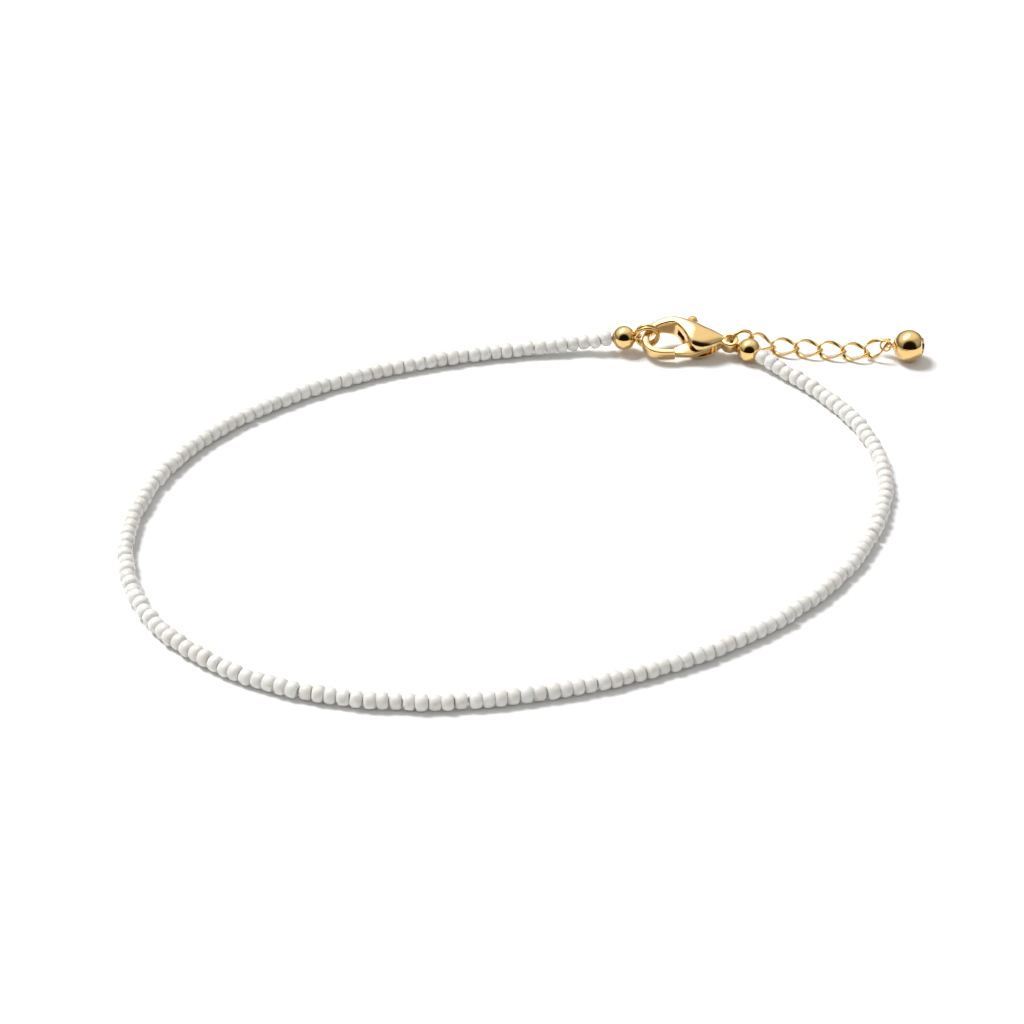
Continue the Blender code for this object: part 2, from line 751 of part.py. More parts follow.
def add_head_pin(parts, cutters, material, root):
    """The headed wire: a flat head at the far side of the ball, and an eye at the chain's side."""
    eye_middle = (HEAD_PIN_EYE_DIAMETER - HEAD_PIN_WIRE) / 2
    head_place = end_ball_face() + PIN_HEAD_GAP + PIN_HEAD_THICKNESS / 2
    length = head_place + pin_eye_reach() - eye_middle
    pin = cylinder("head_pin", HEAD_PIN_WIRE, length, parts, PIN_WIRE_SIDES, material, root)
    pin.data.transform(Matrix.Translation((0.0, 0.0, head_place - length / 2)))
    pin.location = end_ball_centre()
    pin.rotation_euler = end_ball_axis().to_track_quat("Z", "Y").to_euler()
    head = cylinder("pin_head", PIN_HEAD_DIAMETER, PIN_HEAD_THICKNESS, cutters, RING_SIDES, parent=pin)
    head.location.z = head_place
    eye_mesh = ring_mesh("pin_eye", HEAD_PIN_EYE_DIAMETER, HEAD_PIN_WIRE)
    eye = add_object("pin_eye", eye_mesh, cutters, parent=pin)
    eye.location.z = -pin_eye_reach()
    eye.rotation_euler = (math.radians(90.0), 0.0, 0.0)
    boolean(pin, head, "UNION")
    boolean(pin, eye, "UNION")


def main():
    clear_scene()
    parts = new_collection("beaded_anklet")
    cutters = new_collection("anklet_cutters", shown=False)
    gold = polished_gold()
    cast = cast_gold()
    glass = white_glass()

    root = add_object("anklet_layout", None, parts)
    root.location = (-FOOTPRINT_MIDDLE_X, -FOOTPRINT_MIDDLE_Y, 0.0)
    clasp = add_object("clasp_frame", None, parts, parent=root)
    clasp.location = CLASP_PLACE
    clasp.rotation_euler = (CLASP_TILT, 0.0, 0.0)

    add_wire(
        "bead_strand", strand_points(), BEAD_DIAMETER, STRAND_BEVEL_RESOLUTION, False, parts, glass, root
    )

    upright = math.radians(90.0)
    leaning_ring = Euler((upright + LEFT_RING_LEAN, 0.0, 0.0))
    left_ring = (LEFT_RING_DIAMETER, LEFT_RING_WIRE, left_ring_centre(), leaning_ring)
    add_ring("left_jump_ring", *left_ring, parts, gold, root)
    turned_ring = Euler((upright, 0.0, RIGHT_RING_HEADING))
    right_ring = (RIGHT_RING_DIAMETER, RIGHT_RING_WIRE, right_ring_centre(), turned_ring)
    add_ring("right_jump_ring", *right_ring, parts, gold, root)

    sets = (parts, cutters, gold, root)
    centre, loop = left_cover_places()
    add_cover("left_end_ball", centre, (-1, 0, 0), loop, (0, 0, 1), LEFT_RING_WIRE, sets)
    centre, loop = right_cover_places()
    axis = heading(RIGHT_COVER_HEADING)
    loop_axis = heading(RIGHT_RING_HEADING)
    add_cover("right_end_ball", centre, axis, loop, loop_axis, RIGHT_RING_WIRE, sets)

    add_clasp_body(parts, cutters, cast, clasp)
    add_lever(parts, cutters, cast, clasp)
    add_clasp_pin(parts, gold, clasp)

    add_chain(parts, gold, root)
    loop_centre, loop_turn, _ = end_loop_place()
    end_loop = (END_LOOP_DIAMETER, END_LOOP_WIRE, loop_centre, loop_turn)
    add_ring("chain_end_loop", *end_loop, parts, gold, root)
    add_end_ball(parts, cutters, gold, root)
    add_head_pin(parts, cutters, gold, root)


main()
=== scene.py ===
"""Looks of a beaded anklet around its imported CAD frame.

The seed beads and the chain links are Geometry Nodes trees that follow the CAD source's own routes.
The thread, clasp, rings and balls are finer copies of the CAD solids, in the same places. Lengths are
in metres and +Z is up. Layout places are the CAD source's own, moved by LAYOUT at the end.
"""

import math
from functools import cache, partial

import bmesh
import bpy
from bpy.props import FloatProperty, FloatVectorProperty, IntProperty, PointerProperty
from mathutils import Euler, Matrix, Vector, noise


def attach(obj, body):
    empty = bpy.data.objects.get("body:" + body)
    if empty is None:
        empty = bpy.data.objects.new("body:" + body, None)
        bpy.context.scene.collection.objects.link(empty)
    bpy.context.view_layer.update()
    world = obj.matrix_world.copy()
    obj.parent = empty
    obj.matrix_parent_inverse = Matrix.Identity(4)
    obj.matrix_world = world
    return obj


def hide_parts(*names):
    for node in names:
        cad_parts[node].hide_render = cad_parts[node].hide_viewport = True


bl_info = {
    "name": "Beaded anklet",
    "version": (1, 0, 0),
    "blender": (4, 5, 0),
    "location": "3D View > Sidebar > Anklet",
    "description": "A loop of white seed beads with a lobster clasp and an extension chain",
    "category": "Add Mesh",
}

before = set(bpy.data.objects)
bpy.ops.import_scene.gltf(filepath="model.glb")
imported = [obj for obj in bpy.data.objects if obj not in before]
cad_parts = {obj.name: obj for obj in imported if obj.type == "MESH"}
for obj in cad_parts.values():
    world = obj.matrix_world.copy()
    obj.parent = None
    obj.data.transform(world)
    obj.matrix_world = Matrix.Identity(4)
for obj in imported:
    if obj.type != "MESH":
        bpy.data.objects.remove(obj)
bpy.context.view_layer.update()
MM_PER_METRE = 1000

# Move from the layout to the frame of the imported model
LAYOUT = Matrix.Translation((-0.00325, -0.0003, 0.0))
UPRIGHT = math.radians(90.0)
CONTACT_GAP = 0.00008

# Strand. A bead's half profile: radius and height as shares of its diameter and length
BEAD_DIAMETER = 0.0018
BEAD_PROFILE = ((0.17, 0.5), (0.34, 0.475), (0.455, 0.36), (0.505, 0.15))
BEAD_SIDES = 12
BEAD_LIFT = 0.4
BEAD_TONES = 0.65
THREAD_SIDES = 8
STRAND_ROUTE = (
    (0.0080, 0.0332, 0.0013), (0.0044, 0.0328, 0.0011), (-0.0032, 0.0316, 0.0008),
    (-0.0106, 0.0295, 0.0008), (-0.0177, 0.0267, 0.0008), (-0.0244, 0.0230, 0.0008),
    (-0.0305, 0.0183, 0.0008), (-0.0356, 0.0126, 0.0008), (-0.0394, 0.0059, 0.0008),
    (-0.0415, -0.0015, 0.0008), (-0.0418, -0.0091, 0.0008), (-0.0400, -0.0166, 0.0008),
    (-0.0361, -0.0232, 0.0008), (-0.0305, -0.0284, 0.0008), (-0.0238, -0.0321, 0.0008),
    (-0.0164, -0.0341, 0.0008), (-0.0087, -0.0347, 0.0008), (-0.0011, -0.0340, 0.0008),
    (0.0064, -0.0323, 0.0008), (0.0136, -0.0297, 0.0008), (0.0205, -0.0263, 0.0008),
    (0.0268, -0.0219, 0.0008), (0.0323, -0.0166, 0.0008), (0.0368, -0.0104, 0.0008),
    (0.0401, -0.0034, 0.0008), (0.0417, 0.0041, 0.0008), (0.0412, 0.0117, 0.0008),
    (0.0386, 0.0189, 0.0008), (0.0343, 0.0250, 0.0008), (0.0318, 0.0277, 0.0011),
)
ROUTE_STEPS = 24
STRAND_POINTS = 400

# Ball ends
END_COVER_DIAMETER = 0.0029
END_COVER_LENGTH = 0.00275
COVER_LOOP_WIRE = 0.00032
COVER_LOOP_PLAY = 0.00008
LEFT_COVER_ON_RING_DROP = 0.0003
LEFT_COVER_SEAT = 0.0001
RIGHT_COVER_HEADING = math.radians(-45.4)
RIGHT_COVER_SIDE = math.radians(-64.0)
COVER_LOOP_OVERLAP = 0.6
COVER_ARC = math.radians(74.0)
COVER_ARC_STEPS = 32
MOUTH_RADIUS = 0.00034
MOUTH_ROLL = 0.00009
MOUTH_DEPTH = 0.0009
MOUTH_STEPS = 4
# Solder between the ball's back and its loop, as (radius, height)
COVER_FOOT = ((0.0, 0.0008), (0.0003, 0.0006), (0.00036, 0.0003), (0.0006, 0.0), (0.0, -0.0002))
COVER_FOOT_SINK = 0.0003
COVER_FOOT_SIDES = 24

# Clasp
CLASP_LENGTH = 0.0116
CLASP_WIDTH = 0.00544
CLASP_DEPTH = 0.0034
CLASP_PLACE = Vector((0.02120, 0.03239, 0.00185))
CLASP_TILT = math.radians(21.0)
LEVER_THICKNESS = 0.00087
LEVER_SIDE_PLAY = 0.0001
LEVER_GATE_GAP = 0.00012
LEVER_BOSS_RADIUS = 0.0009
LEVER_EDGE = 0.00009
CLAW_EDGE = 0.00005
KNOB_DIAMETER = 0.0013
# Sandy grain of the knob: frequency and share of each layer, and its depth
KNOB_GRAIN = ((9000.0, 1.0), (20000.0, 0.5))
KNOB_GRAIN_DEPTH = 0.00002
PIN_DIAMETER = 0.00056
PIN_LENGTH = 0.0020
PIN_PLAY = 0.00006
PIN_DOME = 0.0001
EYELET_OUTER_DIAMETER = 0.00209
EYELET_HOLE_DIAMETER = 0.00134
EYELET_HEIGHT = 0.00155
EYELET_EDGE = 0.00022

# Rings
LEFT_RING_DIAMETER = 0.0031
LEFT_RING_WIRE = 0.00055
LEFT_RING_LEAN = math.radians(8.0)
SPLIT_RING_WIRE = 0.00047
SPLIT_RING_PITCH = 1.04
SPLIT_RING_START = math.radians(200.0)
SPLIT_RING_TURNS = 2
# Where the coil steps sideways, and over how much of a turn
SPLIT_RING_STEP = 0.9
SPLIT_RING_STEP_LENGTH = 0.2
RIGHT_RING_DIAMETER = 0.0032
RIGHT_RING_WIRE = 0.00042
RIGHT_RING_HEADING = math.radians(20.0)
RIGHT_RING_LIFT = -0.0001
RIGHT_RING_SHIFT = 0.00022
RIGHT_RING_SLIT = math.radians(2.2)
RIGHT_RING_SLIT_AT = math.radians(60.0)

# Extension chain. Each link turns by (heading, roll) in degrees
LINK_PITCH = 0.0028
LINK_WIDTH = 0.00235
LINK_WIRE = 0.00022
LINK_PLAY = 0.00026
LINK_TWIST = math.radians(-45.0)
LINK_STRIP_ROLL = math.radians(45.0)
LINK_TURNS = ((-7.3, 15.0), *((-7.3, 27.0),) * 4, (16.0, 10.0))
LAST_LINK_RISE = math.radians(28.0)
END_LOOP_DIAMETER = 0.0015
END_LOOP_WIRE = 0.00024
END_LOOP_TURN = (math.radians(75.0), math.radians(8.0), math.radians(-14.0))
END_LOOP_REACH = 0.0028
END_LOOP_SLIT = math.radians(3.0)
END_LOOP_SLIT_AT = math.radians(80.0)

# Ball and headed wire at the chain's end
END_BALL_DIAMETER = 0.00385
END_BALL_FACE = 0.0003
HEAD_PIN_WIRE = 0.0004
HEAD_PIN_EYE_DIAMETER = 0.001
HEAD_PIN_EYE_WIRE = 0.00024
PIN_HEAD_DIAMETER = 0.00165
PIN_HEAD_THICKNESS = 0.00011
PIN_HEAD_GAP = 0.00003
END_BALL_HEADING = math.radians(-16.5)
END_BALL_RISE = math.radians(10.0)
END_BALL_REACH = 0.0026
END_BALL_RECESS = 0.0002
PIN_HEAD_PLAY = 0.00008
FACE_EDGE = 0.00005
PIN_HEAD_EDGE = 0.00003
BALL_SEAM = 1e-7

# Places in the clasp, as in the CAD source: shares of its length and width
PIVOT = (0.151, -0.083)
# Claw sections: outer edge, inner edge, depth as a share, squareness outside and inside
CLAW_SECTIONS = (
    (-0.293, -0.379, -0.284, -0.254, 0.42, 5.0, 5.0),
    (-0.397, -0.322, -0.353, -0.211, 0.42, 4.0, 5.0),
    (-0.470, -0.184, -0.401, -0.119, 0.42, 3.0, 5.0),
    (-0.498, 0.000, -0.418, 0.018, 0.44, 2.5, 5.0),
    (-0.474, 0.221, -0.401, 0.175, 0.44, 2.2, 5.0),
    (-0.414, 0.414, -0.353, 0.294, 0.50, 2.2, 5.0),
    (-0.342, 0.544, -0.293, 0.364, 0.56, 2.2, 6.0),
    (-0.227, 0.619, -0.227, 0.390, 0.71, 2.2, 6.0),
    (-0.121, 0.610, -0.151, 0.368, 0.82, 2.2, 6.0),
    (-0.026, 0.551, -0.099, 0.239, 0.91, 2.2, 6.0),
    (0.043, 0.506, -0.052, 0.055, 0.97, 2.2, 6.0),
    (0.097, 0.460, -0.026, -0.110, 1.00, 2.2, 4.5),
    (0.138, 0.417, 0.017, -0.248, 0.98, 2.2, 4.2),
    (0.172, 0.377, 0.097, -0.307, 0.91, 2.2, 3.4),
    (0.228, 0.316, 0.178, -0.276, 0.82, 2.2, 3.0),
    (0.295, 0.224, 0.259, -0.193, 0.68, 2.2, 2.4),
    (0.336, 0.165, 0.328, -0.101, 0.53, 2.2, 2.2),
    (0.371, 0.110, 0.371, -0.074, 0.40, 2.2, 2.2),
)
HOOK_SECTION = 4
TIP_ACROSS = (-0.379, -0.254)
TIP_SECTION = (0.42, 5.0, 5.0)
GATE_REACH = 0.3276
SLOT_OUTLINE = (
    (-0.121, -0.520), (0.268, -0.520), (0.268, 0.130), (0.263, 0.130),
    (0.263, 0.880), (-0.043, 0.880), (-0.043, 0.330), (-0.140, 0.300),
)
LIP_OUTLINE = (
    (-0.130, -0.520), (0.325, -0.560), (0.325, -0.085), (0.285, -0.130), (0.235, -0.185),
    (0.190, -0.235), (0.140, -0.268), (0.085, -0.282), (0.041, -0.262), (-0.009, -0.185),
    (-0.130, -0.171),
)
# The points of the lip that a curve runs through
LIP_CURVE = slice(2, 10)
GATE_ACROSS = (-0.351, -0.208)
LEVER_NEAR_EDGE = ((-0.060, -0.351), (0.009, -0.349), (0.069, -0.322), (0.129, -0.268))
LEVER_FAR_EDGE = (
    (0.121, 0.165), (0.093, 0.520), (-0.019, 0.520), (-0.017, 0.221), (-0.030, -0.037),
    (-0.078, -0.099),
)
KNOB_SEAT_PLACE = (0.037, 0.520)
KNOB_SEAT = 0.00023
BOSS_ARC = (math.radians(-50.0), math.radians(65.0))

# Fineness of the shown meshes
CLAW_STEPS = 5
SECTION_POINTS = 40
RING_STEPS = 64
WIRE_SIDES = 16
BALL_SIDES = 56
BALL_STEPS = 40
LEVER_BOSS_STEPS = 16
GATE_STEPS = 8
OUTLINE_STEPS = 4
EDGE_STEPS = 6
TURNED_SIDES = 64
PIN_SIDES = 32
KNOB_SIDES = 40
KNOB_STEPS = 24
LINK_STEPS = 56
LINK_SIDES = 12
EDGE_SEGMENTS = 3
LINK_GRID = (0.15, 0.1)
EYE_STEPS = 48
RESTING_POINTS = 14
SHARP_ANGLE = math.radians(38.0)
CASTING_SHARP_ANGLE = math.radians(50.0)

# Camera of the photograph: aim, distance, height above the horizon and lens
CAMERA_AIM = Vector((-0.00325, -0.0003, 0.0))
CAMERA_DISTANCE = 0.33327
CAMERA_HEIGHT = math.radians(35.18)
CAMERA_LENS = 105.75
SENSOR_WIDTH = 36.0

# Stage. Each glow is its name, middle, size, core as a share of its reach, strength and colour
FLOOR_REACH = 4.0
SUN_FROM = Vector((-0.6, 0.42, 1.1))
SUN_ANGLE = math.radians(22.0)
SUN_STRENGTH = 3.0
WALLS = {"From Min": 0.05, "From Max": 0.45, "To Min": 0.12, "To Max": 0.5}
GLOWS = (
    ("ceiling_glow", (-0.15, 0.42, 1.0), (5.0, 3.2), 0.3, 1.1, (1.0, 0.96, 0.90)),
    ("ceiling_core", (-0.25, 0.30, 0.9), (1.2, 0.7), 0.45, 5.5, (1.0, 0.98, 0.95)),
)
DARK_HEIGHT = math.radians(38.0)
DARK_SIZE = (3.4, 1.85)
DARK_CORE = 0.68
DARK_COLOUR = (0.012, 0.007, 0.003)

# Range that most of a noise texture lies in
NOISE_RANGE = (0.3, 0.7)


def linear(code):
    """An sRGB hex colour as Blender's linear colour."""
    parts = [int(code[i : i + 2], 16) / 255 for i in (1, 3, 5)]
    return tuple(c / 12.92 if c <= 0.04045 else ((c + 0.055) / 1.055) ** 2.4 for c in parts)


class AnkletSizes(bpy.types.PropertyGroup):
    """Sizes of the beads and of what is drawn finer than the CAD solids."""

    bead_count: IntProperty(name="Beads", description="Seed beads on the thread", default=166, min=3)
    bead_length: FloatProperty(
        name="Bead length", description="Along the thread", default=0.00136, unit="LENGTH", precision=5
    )
    bead_spread: FloatProperty(
        name="Bead spread", description="How much bead sizes differ, as a share", default=0.05
    )
    bead_shift: FloatProperty(
        name="Bead shift", description="How far beads sit off the line", default=0.00009, unit="LENGTH"
    )
    bead_tilt: FloatProperty(
        name="Bead tilt", description="How far beads lean", default=math.radians(7), subtype="ANGLE"
    )
    bead_seed: IntProperty(name="Bead seed", description="Another order of the same beads", default=7)
    thread: FloatProperty(
        name="Thread", description="Thread diameter", default=0.0005, unit="LENGTH", precision=5
    )
    link_strip: FloatProperty(
        name="Link strip", description="Width of the flattened link wire", default=0.00046, unit="LENGTH"
    )
    link_thickness: FloatProperty(
        name="Link thickness", description="Thickness of the link wire", default=0.00025, unit="LENGTH"
    )


class AnkletColours(bpy.types.PropertyGroup):
    """Base colours of the finishes."""

    gold: FloatVectorProperty(
        name="Gold plate", description="Polished yellow gold plate", size=3, subtype="COLOR",
        min=0, max=1, default=linear("#eecb85"),
    )
    cast_gold: FloatVectorProperty(
        name="Cast gold", description="Plated casting of the clasp", size=3, subtype="COLOR",
        min=0, max=1, default=linear("#edcb88"),
    )
    glass: FloatVectorProperty(
        name="Glass", description="Opaque white bead glass", size=3, subtype="COLOR",
        min=0, max=1, default=linear("#e8e6e2"),
    )
    floor: FloatVectorProperty(
        name="Floor", description="Pale studio floor", size=3, subtype="COLOR",
        min=0, max=1, default=linear("#f7f7f6"),
    )


def sizes():
    return bpy.context.scene.anklet_sizes


def colours():
    return bpy.context.scene.anklet_colours


# Materials


def add_node(tree, kind, values=None):
    """Adds a node, and sets or links its properties and sockets by name. Properties come first, and a
    linked node stands for its first output."""
    node = tree.nodes.new(kind)
    for name, value in (values or {}).items():
        if isinstance(value, bpy.types.Node):
            value = value.outputs[0]
        if isinstance(value, bpy.types.NodeSocket):
            tree.links.new(value, node.inputs[name])
        elif isinstance(name, str) and hasattr(node, name):
            setattr(node, name, value)
        else:
            node.inputs[name].default_value = value
    return node


def new_material(name, **settings):
    """A material with its Principled shader set by socket name, and its tree."""
    material = bpy.data.materials.new(name)
    material.use_nodes = True
    shader = material.node_tree.nodes["Principled BSDF"]
    for socket, value in settings.items():
        shader.inputs[socket.replace("_", " ")].default_value = value
    return material, material.node_tree


def grain(tree, scale, detail=2.0):
    """Noise in the object's own space."""
    place = add_node(tree, "ShaderNodeTexCoord").outputs["Object"]
    values = {"Scale": scale, "Detail": detail, "Vector": place}
    return add_node(tree, "ShaderNodeTexNoise", values)


def tinted(tree, fac, colour, shade):
    """A colour that runs between shade times itself and itself, over noise's range."""
    dark = tuple(c * s for c, s in zip(colour, shade))
    ramp = add_node(tree, "ShaderNodeValToRGB", {"Fac": fac})
    for stop, position, tone in zip(ramp.color_ramp.elements, NOISE_RANGE, (dark, colour)):
        stop.position = position
        stop.color = (*tone, 1.0)
    return ramp


def spread(tree, fac, low, high):
    """Noise's range mapped to low to high."""
    values = {"From Min": NOISE_RANGE[0], "From Max": NOISE_RANGE[1], "To Min": low, "To Max": high}
    return add_node(tree, "ShaderNodeMapRange", {**values, "Value": fac})


def coat(material, tint, roughness=None, bumps=()):
    """Links a tint (fac, colour, shade), a roughness (fac, low, high) and bumps, one over the other
    (height, strength, distance), to a material's shader."""
    tree = material.node_tree
    shader = tree.nodes["Principled BSDF"]
    tree.links.new(tinted(tree, *tint).outputs["Color"], shader.inputs["Base Color"])
    if roughness:
        tree.links.new(spread(tree, *roughness).outputs["Result"], shader.inputs["Roughness"])
    below = {}
    for height, strength, distance in bumps:
        values = {"Strength": strength, "Distance": distance, "Height": height, **below}
        normal = add_node(tree, "ShaderNodeBump", values).outputs["Normal"]
        below = {"Normal": normal}
        tree.links.new(normal, shader.inputs["Normal"])
    return material


@cache
def polished_gold():
    """Yellow gold electroplate on polished brass: a near mirror with a faint polishing haze."""
    material, tree = new_material(
        "polished_gold_plate", Metallic=1.0, Coat_Weight=0.8, Coat_Roughness=0.04
    )
    # Cloudy plating, patches about 0.7 mm across
    cloud = grain(tree, 1400.0, 3.0)
    # Polishing haze, patches about 0.15 mm across
    haze = grain(tree, 6500.0, 5.0)
    tint = (cloud, colours().gold, (0.97, 0.93, 0.84))
    return coat(material, tint, (haze, 0.04, 0.10), [(haze, 0.05, 0.00001)])


@cache
def drawn_gold():
    """Gold-plated drawn wire: polished, with fine die lines that run along the wire."""
    material, tree = new_material("drawn_gold_wire", Metallic=1.0)
    along = add_node(tree, "ShaderNodeTexCoord").outputs["UV"]
    # UV is in millimetres: u along the wire and v round it. Lines 0.05 mm apart, about 3 mm long
    stretch = add_node(tree, "ShaderNodeMapping", {"Scale": (0.35, 20.0, 1.0), "Vector": along})
    values = {"Scale": 1.0, "Detail": 4.0, "Vector": stretch}
    lines = add_node(tree, "ShaderNodeTexNoise", values)
    tint = (lines, colours().gold, (0.93, 0.88, 0.76))
    return coat(material, tint, (lines, 0.12, 0.24), [(lines, 0.25, 0.00002)])


@cache
def cast_gold():
    """Gold-plated zinc casting, tumbled bright: the mould's soft waves under a mirror plate."""
    material, tree = new_material(
        "cast_gold_plate", Metallic=1.0, Coat_Weight=0.8, Coat_Roughness=0.06
    )
    # Waves of the casting, about 1.2 mm across
    wave = grain(tree, 800.0, 2.0)
    # Fine tumbling marks, about 0.1 mm across
    mark = grain(tree, 9000.0, 4.0)
    tint = (wave, colours().cast_gold, (0.97, 0.93, 0.86))
    bumps = [(wave, 0.12, 0.00006), (mark, 0.06, 0.00001)]
    return coat(material, tint, (mark, 0.06, 0.14), bumps)


@cache
def sandy_gold():
    """As-cast gold plate of the lever's knob: matt, with the mould's sandy grain."""
    material, tree = new_material("as_cast_gold_plate", Metallic=1.0)
    # Grain about 0.06 mm across, drawn coarser than the real 0.03 mm so that it shows
    sand = grain(tree, 16000.0, 3.0)
    tint = (sand, colours().cast_gold, (0.72, 0.66, 0.56))
    return coat(material, tint, (sand, 0.38, 0.6), [(sand, 0.9, 0.00004)])


@cache
def bead_glass():
    """Opaque white seed-bead glass, cut from drawn cane and fire polished: dense, softly glossy, and
    a little different from bead to bead."""
    material, tree = new_material(
        "opaque_white_glass", IOR=1.52, Subsurface_Weight=0.55, Subsurface_Scale=0.0009,
        Subsurface_Radius=(1.0, 0.9, 0.8),
    )
    tone = add_node(tree, "ShaderNodeAttribute", {"attribute_name": "bead_tone"}).outputs["Fac"]
    # Milky clouds in the glass, about 0.4 mm across, over each bead's own tone
    cloud = grain(tree, 2600.0, 2.0)
    mixed = math_node(tree, "MULTIPLY_ADD", cloud, 0.35, tone)
    # Fire-polished ripple, about 0.25 mm across
    ripple = grain(tree, 4000.0, 1.0)
    tint = (mixed, colours().glass, (0.94, 0.93, 0.91))
    return coat(material, tint, (cloud, 0.12, 0.22), [(ripple, 0.12, 0.00003)])


@cache
def nylon_thread():
    """White bonded nylon beading thread: soft sheen, with a lay that turns round the thread."""
    material, tree = new_material("white_nylon_thread", IOR=1.53)
    along = add_node(tree, "ShaderNodeTexCoord").outputs["UV"]
    # One strand of the lay each 0.25 mm, drawn on a slant across the UV map
    values = {"Rotation": (0.0, 0.0, math.radians(35)), "Vector": along}
    slant = add_node(tree, "ShaderNodeMapping", values)
    values = {"Scale": 2.0, "Distortion": 1.0, "Vector": slant}
    lay = add_node(tree, "ShaderNodeTexWave", values).outputs["Fac"]
    tint = (lay, linear("#e9e7e1"), (0.85, 0.84, 0.82))
    return coat(material, tint, (lay, 0.4, 0.6), [(lay, 0.6, 0.00003)])


def studio_floor():
    """Matt white acrylic-coated board: plain, with a faint grain."""
    material, tree = new_material("white_board", Roughness=0.7, Specular_IOR_Level=0.1)
    return coat(material, (grain(tree, 3000.0), colours().floor, (0.995, 0.995, 0.995)))


# Meshes


def new_object(name, data):
    """A new object in the scene."""
    obj = bpy.data.objects.new(name, data)
    bpy.context.scene.collection.objects.link(obj)
    return obj


def bridge(shape, rows, closed, steps=None):
    """Joins rows of points with quads. steps gives (u at each row, v round it) in millimetres for the
    UV map."""
    layer = shape.loops.layers.uv.verify() if steps else None
    count = len(rows[0])
    for i in range(len(rows) - (0 if closed else 1)):
        here = rows[i]
        there = rows[(i + 1) % len(rows)]
        for j in range(count):
            k = (j + 1) % count
            face = shape.faces.new((here[j], here[k], there[k], there[j]))
            if layer:
                corners = ((i, j), (i, j + 1), (i + 1, j + 1), (i + 1, j))
                for loop, (row, side) in zip(face.loops, corners):
                    loop[layer].uv = (steps[0] * row, steps[1] * side)


def capped(shape, rows):
    """Closes the first and the last of the bridged rows."""
    shape.faces.new(rows[0])
    shape.faces.new(list(reversed(rows[-1])))


def smoothed(obj, sharp):
    """Shades a piece smooth but for its sharp edges."""
    obj.data.shade_smooth()
    if sharp:
        obj.data.set_sharp_from_angle(angle=sharp)
    return obj


def mesh_object(name, shape, sharp=SHARP_ANGLE):
    """A new object from a bmesh, with its faces outwards and its shading smoothed."""
    bmesh.ops.recalc_face_normals(shape, faces=shape.faces)
    mesh = bpy.data.meshes.new(name)
    shape.to_mesh(mesh)
    shape.free()
    return smoothed(new_object(name, mesh), sharp)


def settle(obj, place=Matrix.Identity(4)):
    """Bakes an object's modifiers and place into its mesh, and leaves it at the origin."""
    bpy.context.view_layer.update()
    graph = bpy.context.evaluated_depsgraph_get()
    mesh = bpy.data.meshes.new_from_object(
        obj.evaluated_get(graph), preserve_all_data_layers=True, depsgraph=graph
    )
    mesh.transform(place @ obj.matrix_world)
    obj.modifiers.clear()
    obj.parent = None
    obj.matrix_world = Matrix.Identity(4)
    obj.data = mesh
    obj.data.name = obj.name
    return obj


def discard(*objects):
    for obj in objects:
        bpy.data.objects.remove(obj)


def dress(obj, body, slot, material, *nodes):
    """Gives a finished piece its material and its body, and hides the CAD nodes that it stands for. slot
    is not used.
    """
    if material:
        obj.data.materials.clear()
        obj.data.materials.append(material)
    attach(obj, body)
    if nodes:
        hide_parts(*nodes)


def joined(name, objects):
    """One object from several settled ones."""
    shape = bmesh.new()
    for obj in objects:
        shape.from_mesh(obj.data)
    mesh = bpy.data.meshes.new(name)
    shape.to_mesh(mesh)
    shape.free()
    discard(*objects)
    return new_object(name, mesh)


def ring_row(shape, middle, wire, angle, aside=0.0):
    """A wire's cross-section at this angle of a ring in the XY plane."""
    around = Matrix.Rotation(angle, 4, "Z")
    row = []
    for j in range(WIRE_SIDES):
        turn = math.tau * (j + 0.5) / WIRE_SIDES
        out, up = wire / 2 * math.cos(turn), wire / 2 * math.sin(turn)
        row.append(shape.verts.new(around @ Vector((middle + out, 0.0, aside + up))))
    return row


def ring_grid(middle, wire, steps):
    """A ring's UV steps along and round its wire, in millimetres."""
    along = MM_PER_METRE * math.tau * middle / steps
    return along, MM_PER_METRE * math.pi * wire / WIRE_SIDES


def wire_ring(name, diameter, wire, slit=0.0, slit_at=0.0, steps=RING_STEPS):
    """A wire ring in the XY plane. slit is an open angle, and slit_at is where it lies."""
    shape = bmesh.new()
    middle = (diameter - wire) / 2
    rows = []
    for i in range(steps + (1 if slit else 0)):
        angle = slit_at + slit / 2 + (math.tau - slit) * i / steps
        rows.append(ring_row(shape, middle, wire, angle))
    bridge(shape, rows, not slit, ring_grid(middle, wire, steps))
    if slit:
        capped(shape, rows)
    return mesh_object(name, shape)


def turned(name, profile, sides=BALL_SIDES, sharp=SHARP_ANGLE):
    """A closed solid turned about Z from (radius, height) pairs; an end on the axis becomes one point."""
    shape = bmesh.new()
    rows = []
    for radius, height in profile:
        if radius < 1e-7:
            rows.append([shape.verts.new((0.0, 0.0, height))])
            continue
        row = []
        for i in range(sides):
            turn = math.tau * i / sides
            row.append(shape.verts.new((radius * math.cos(turn), radius * math.sin(turn), height)))
        rows.append(row)
    for here, there in zip(rows, rows[1:]):
        for i in range(sides):
            k = (i + 1) % sides
            corners = [here[i % len(here)], here[k % len(here)]]
            corners += [there[k % len(there)], there[i % len(there)]]
            shape.faces.new(list(dict.fromkeys(corners)))
    return mesh_object(name, shape, sharp)


def prism(name, outline, bottom, top):
    """A flat outline in XY made solid from bottom to top."""
    shape = bmesh.new()
    lower = [shape.verts.new((x, y, bottom)) for x, y in outline]
    upper = [shape.verts.new((x, y, top)) for x, y in outline]
    bridge(shape, [lower, upper], closed=False)
    shape.faces.new(list(reversed(lower)))
    shape.faces.new(upper)
    return mesh_object(name, shape)


def with_mirror(half):
    """A profile from its upper half."""
    return [*half, *((radius, -height) for radius, height in reversed(half))]


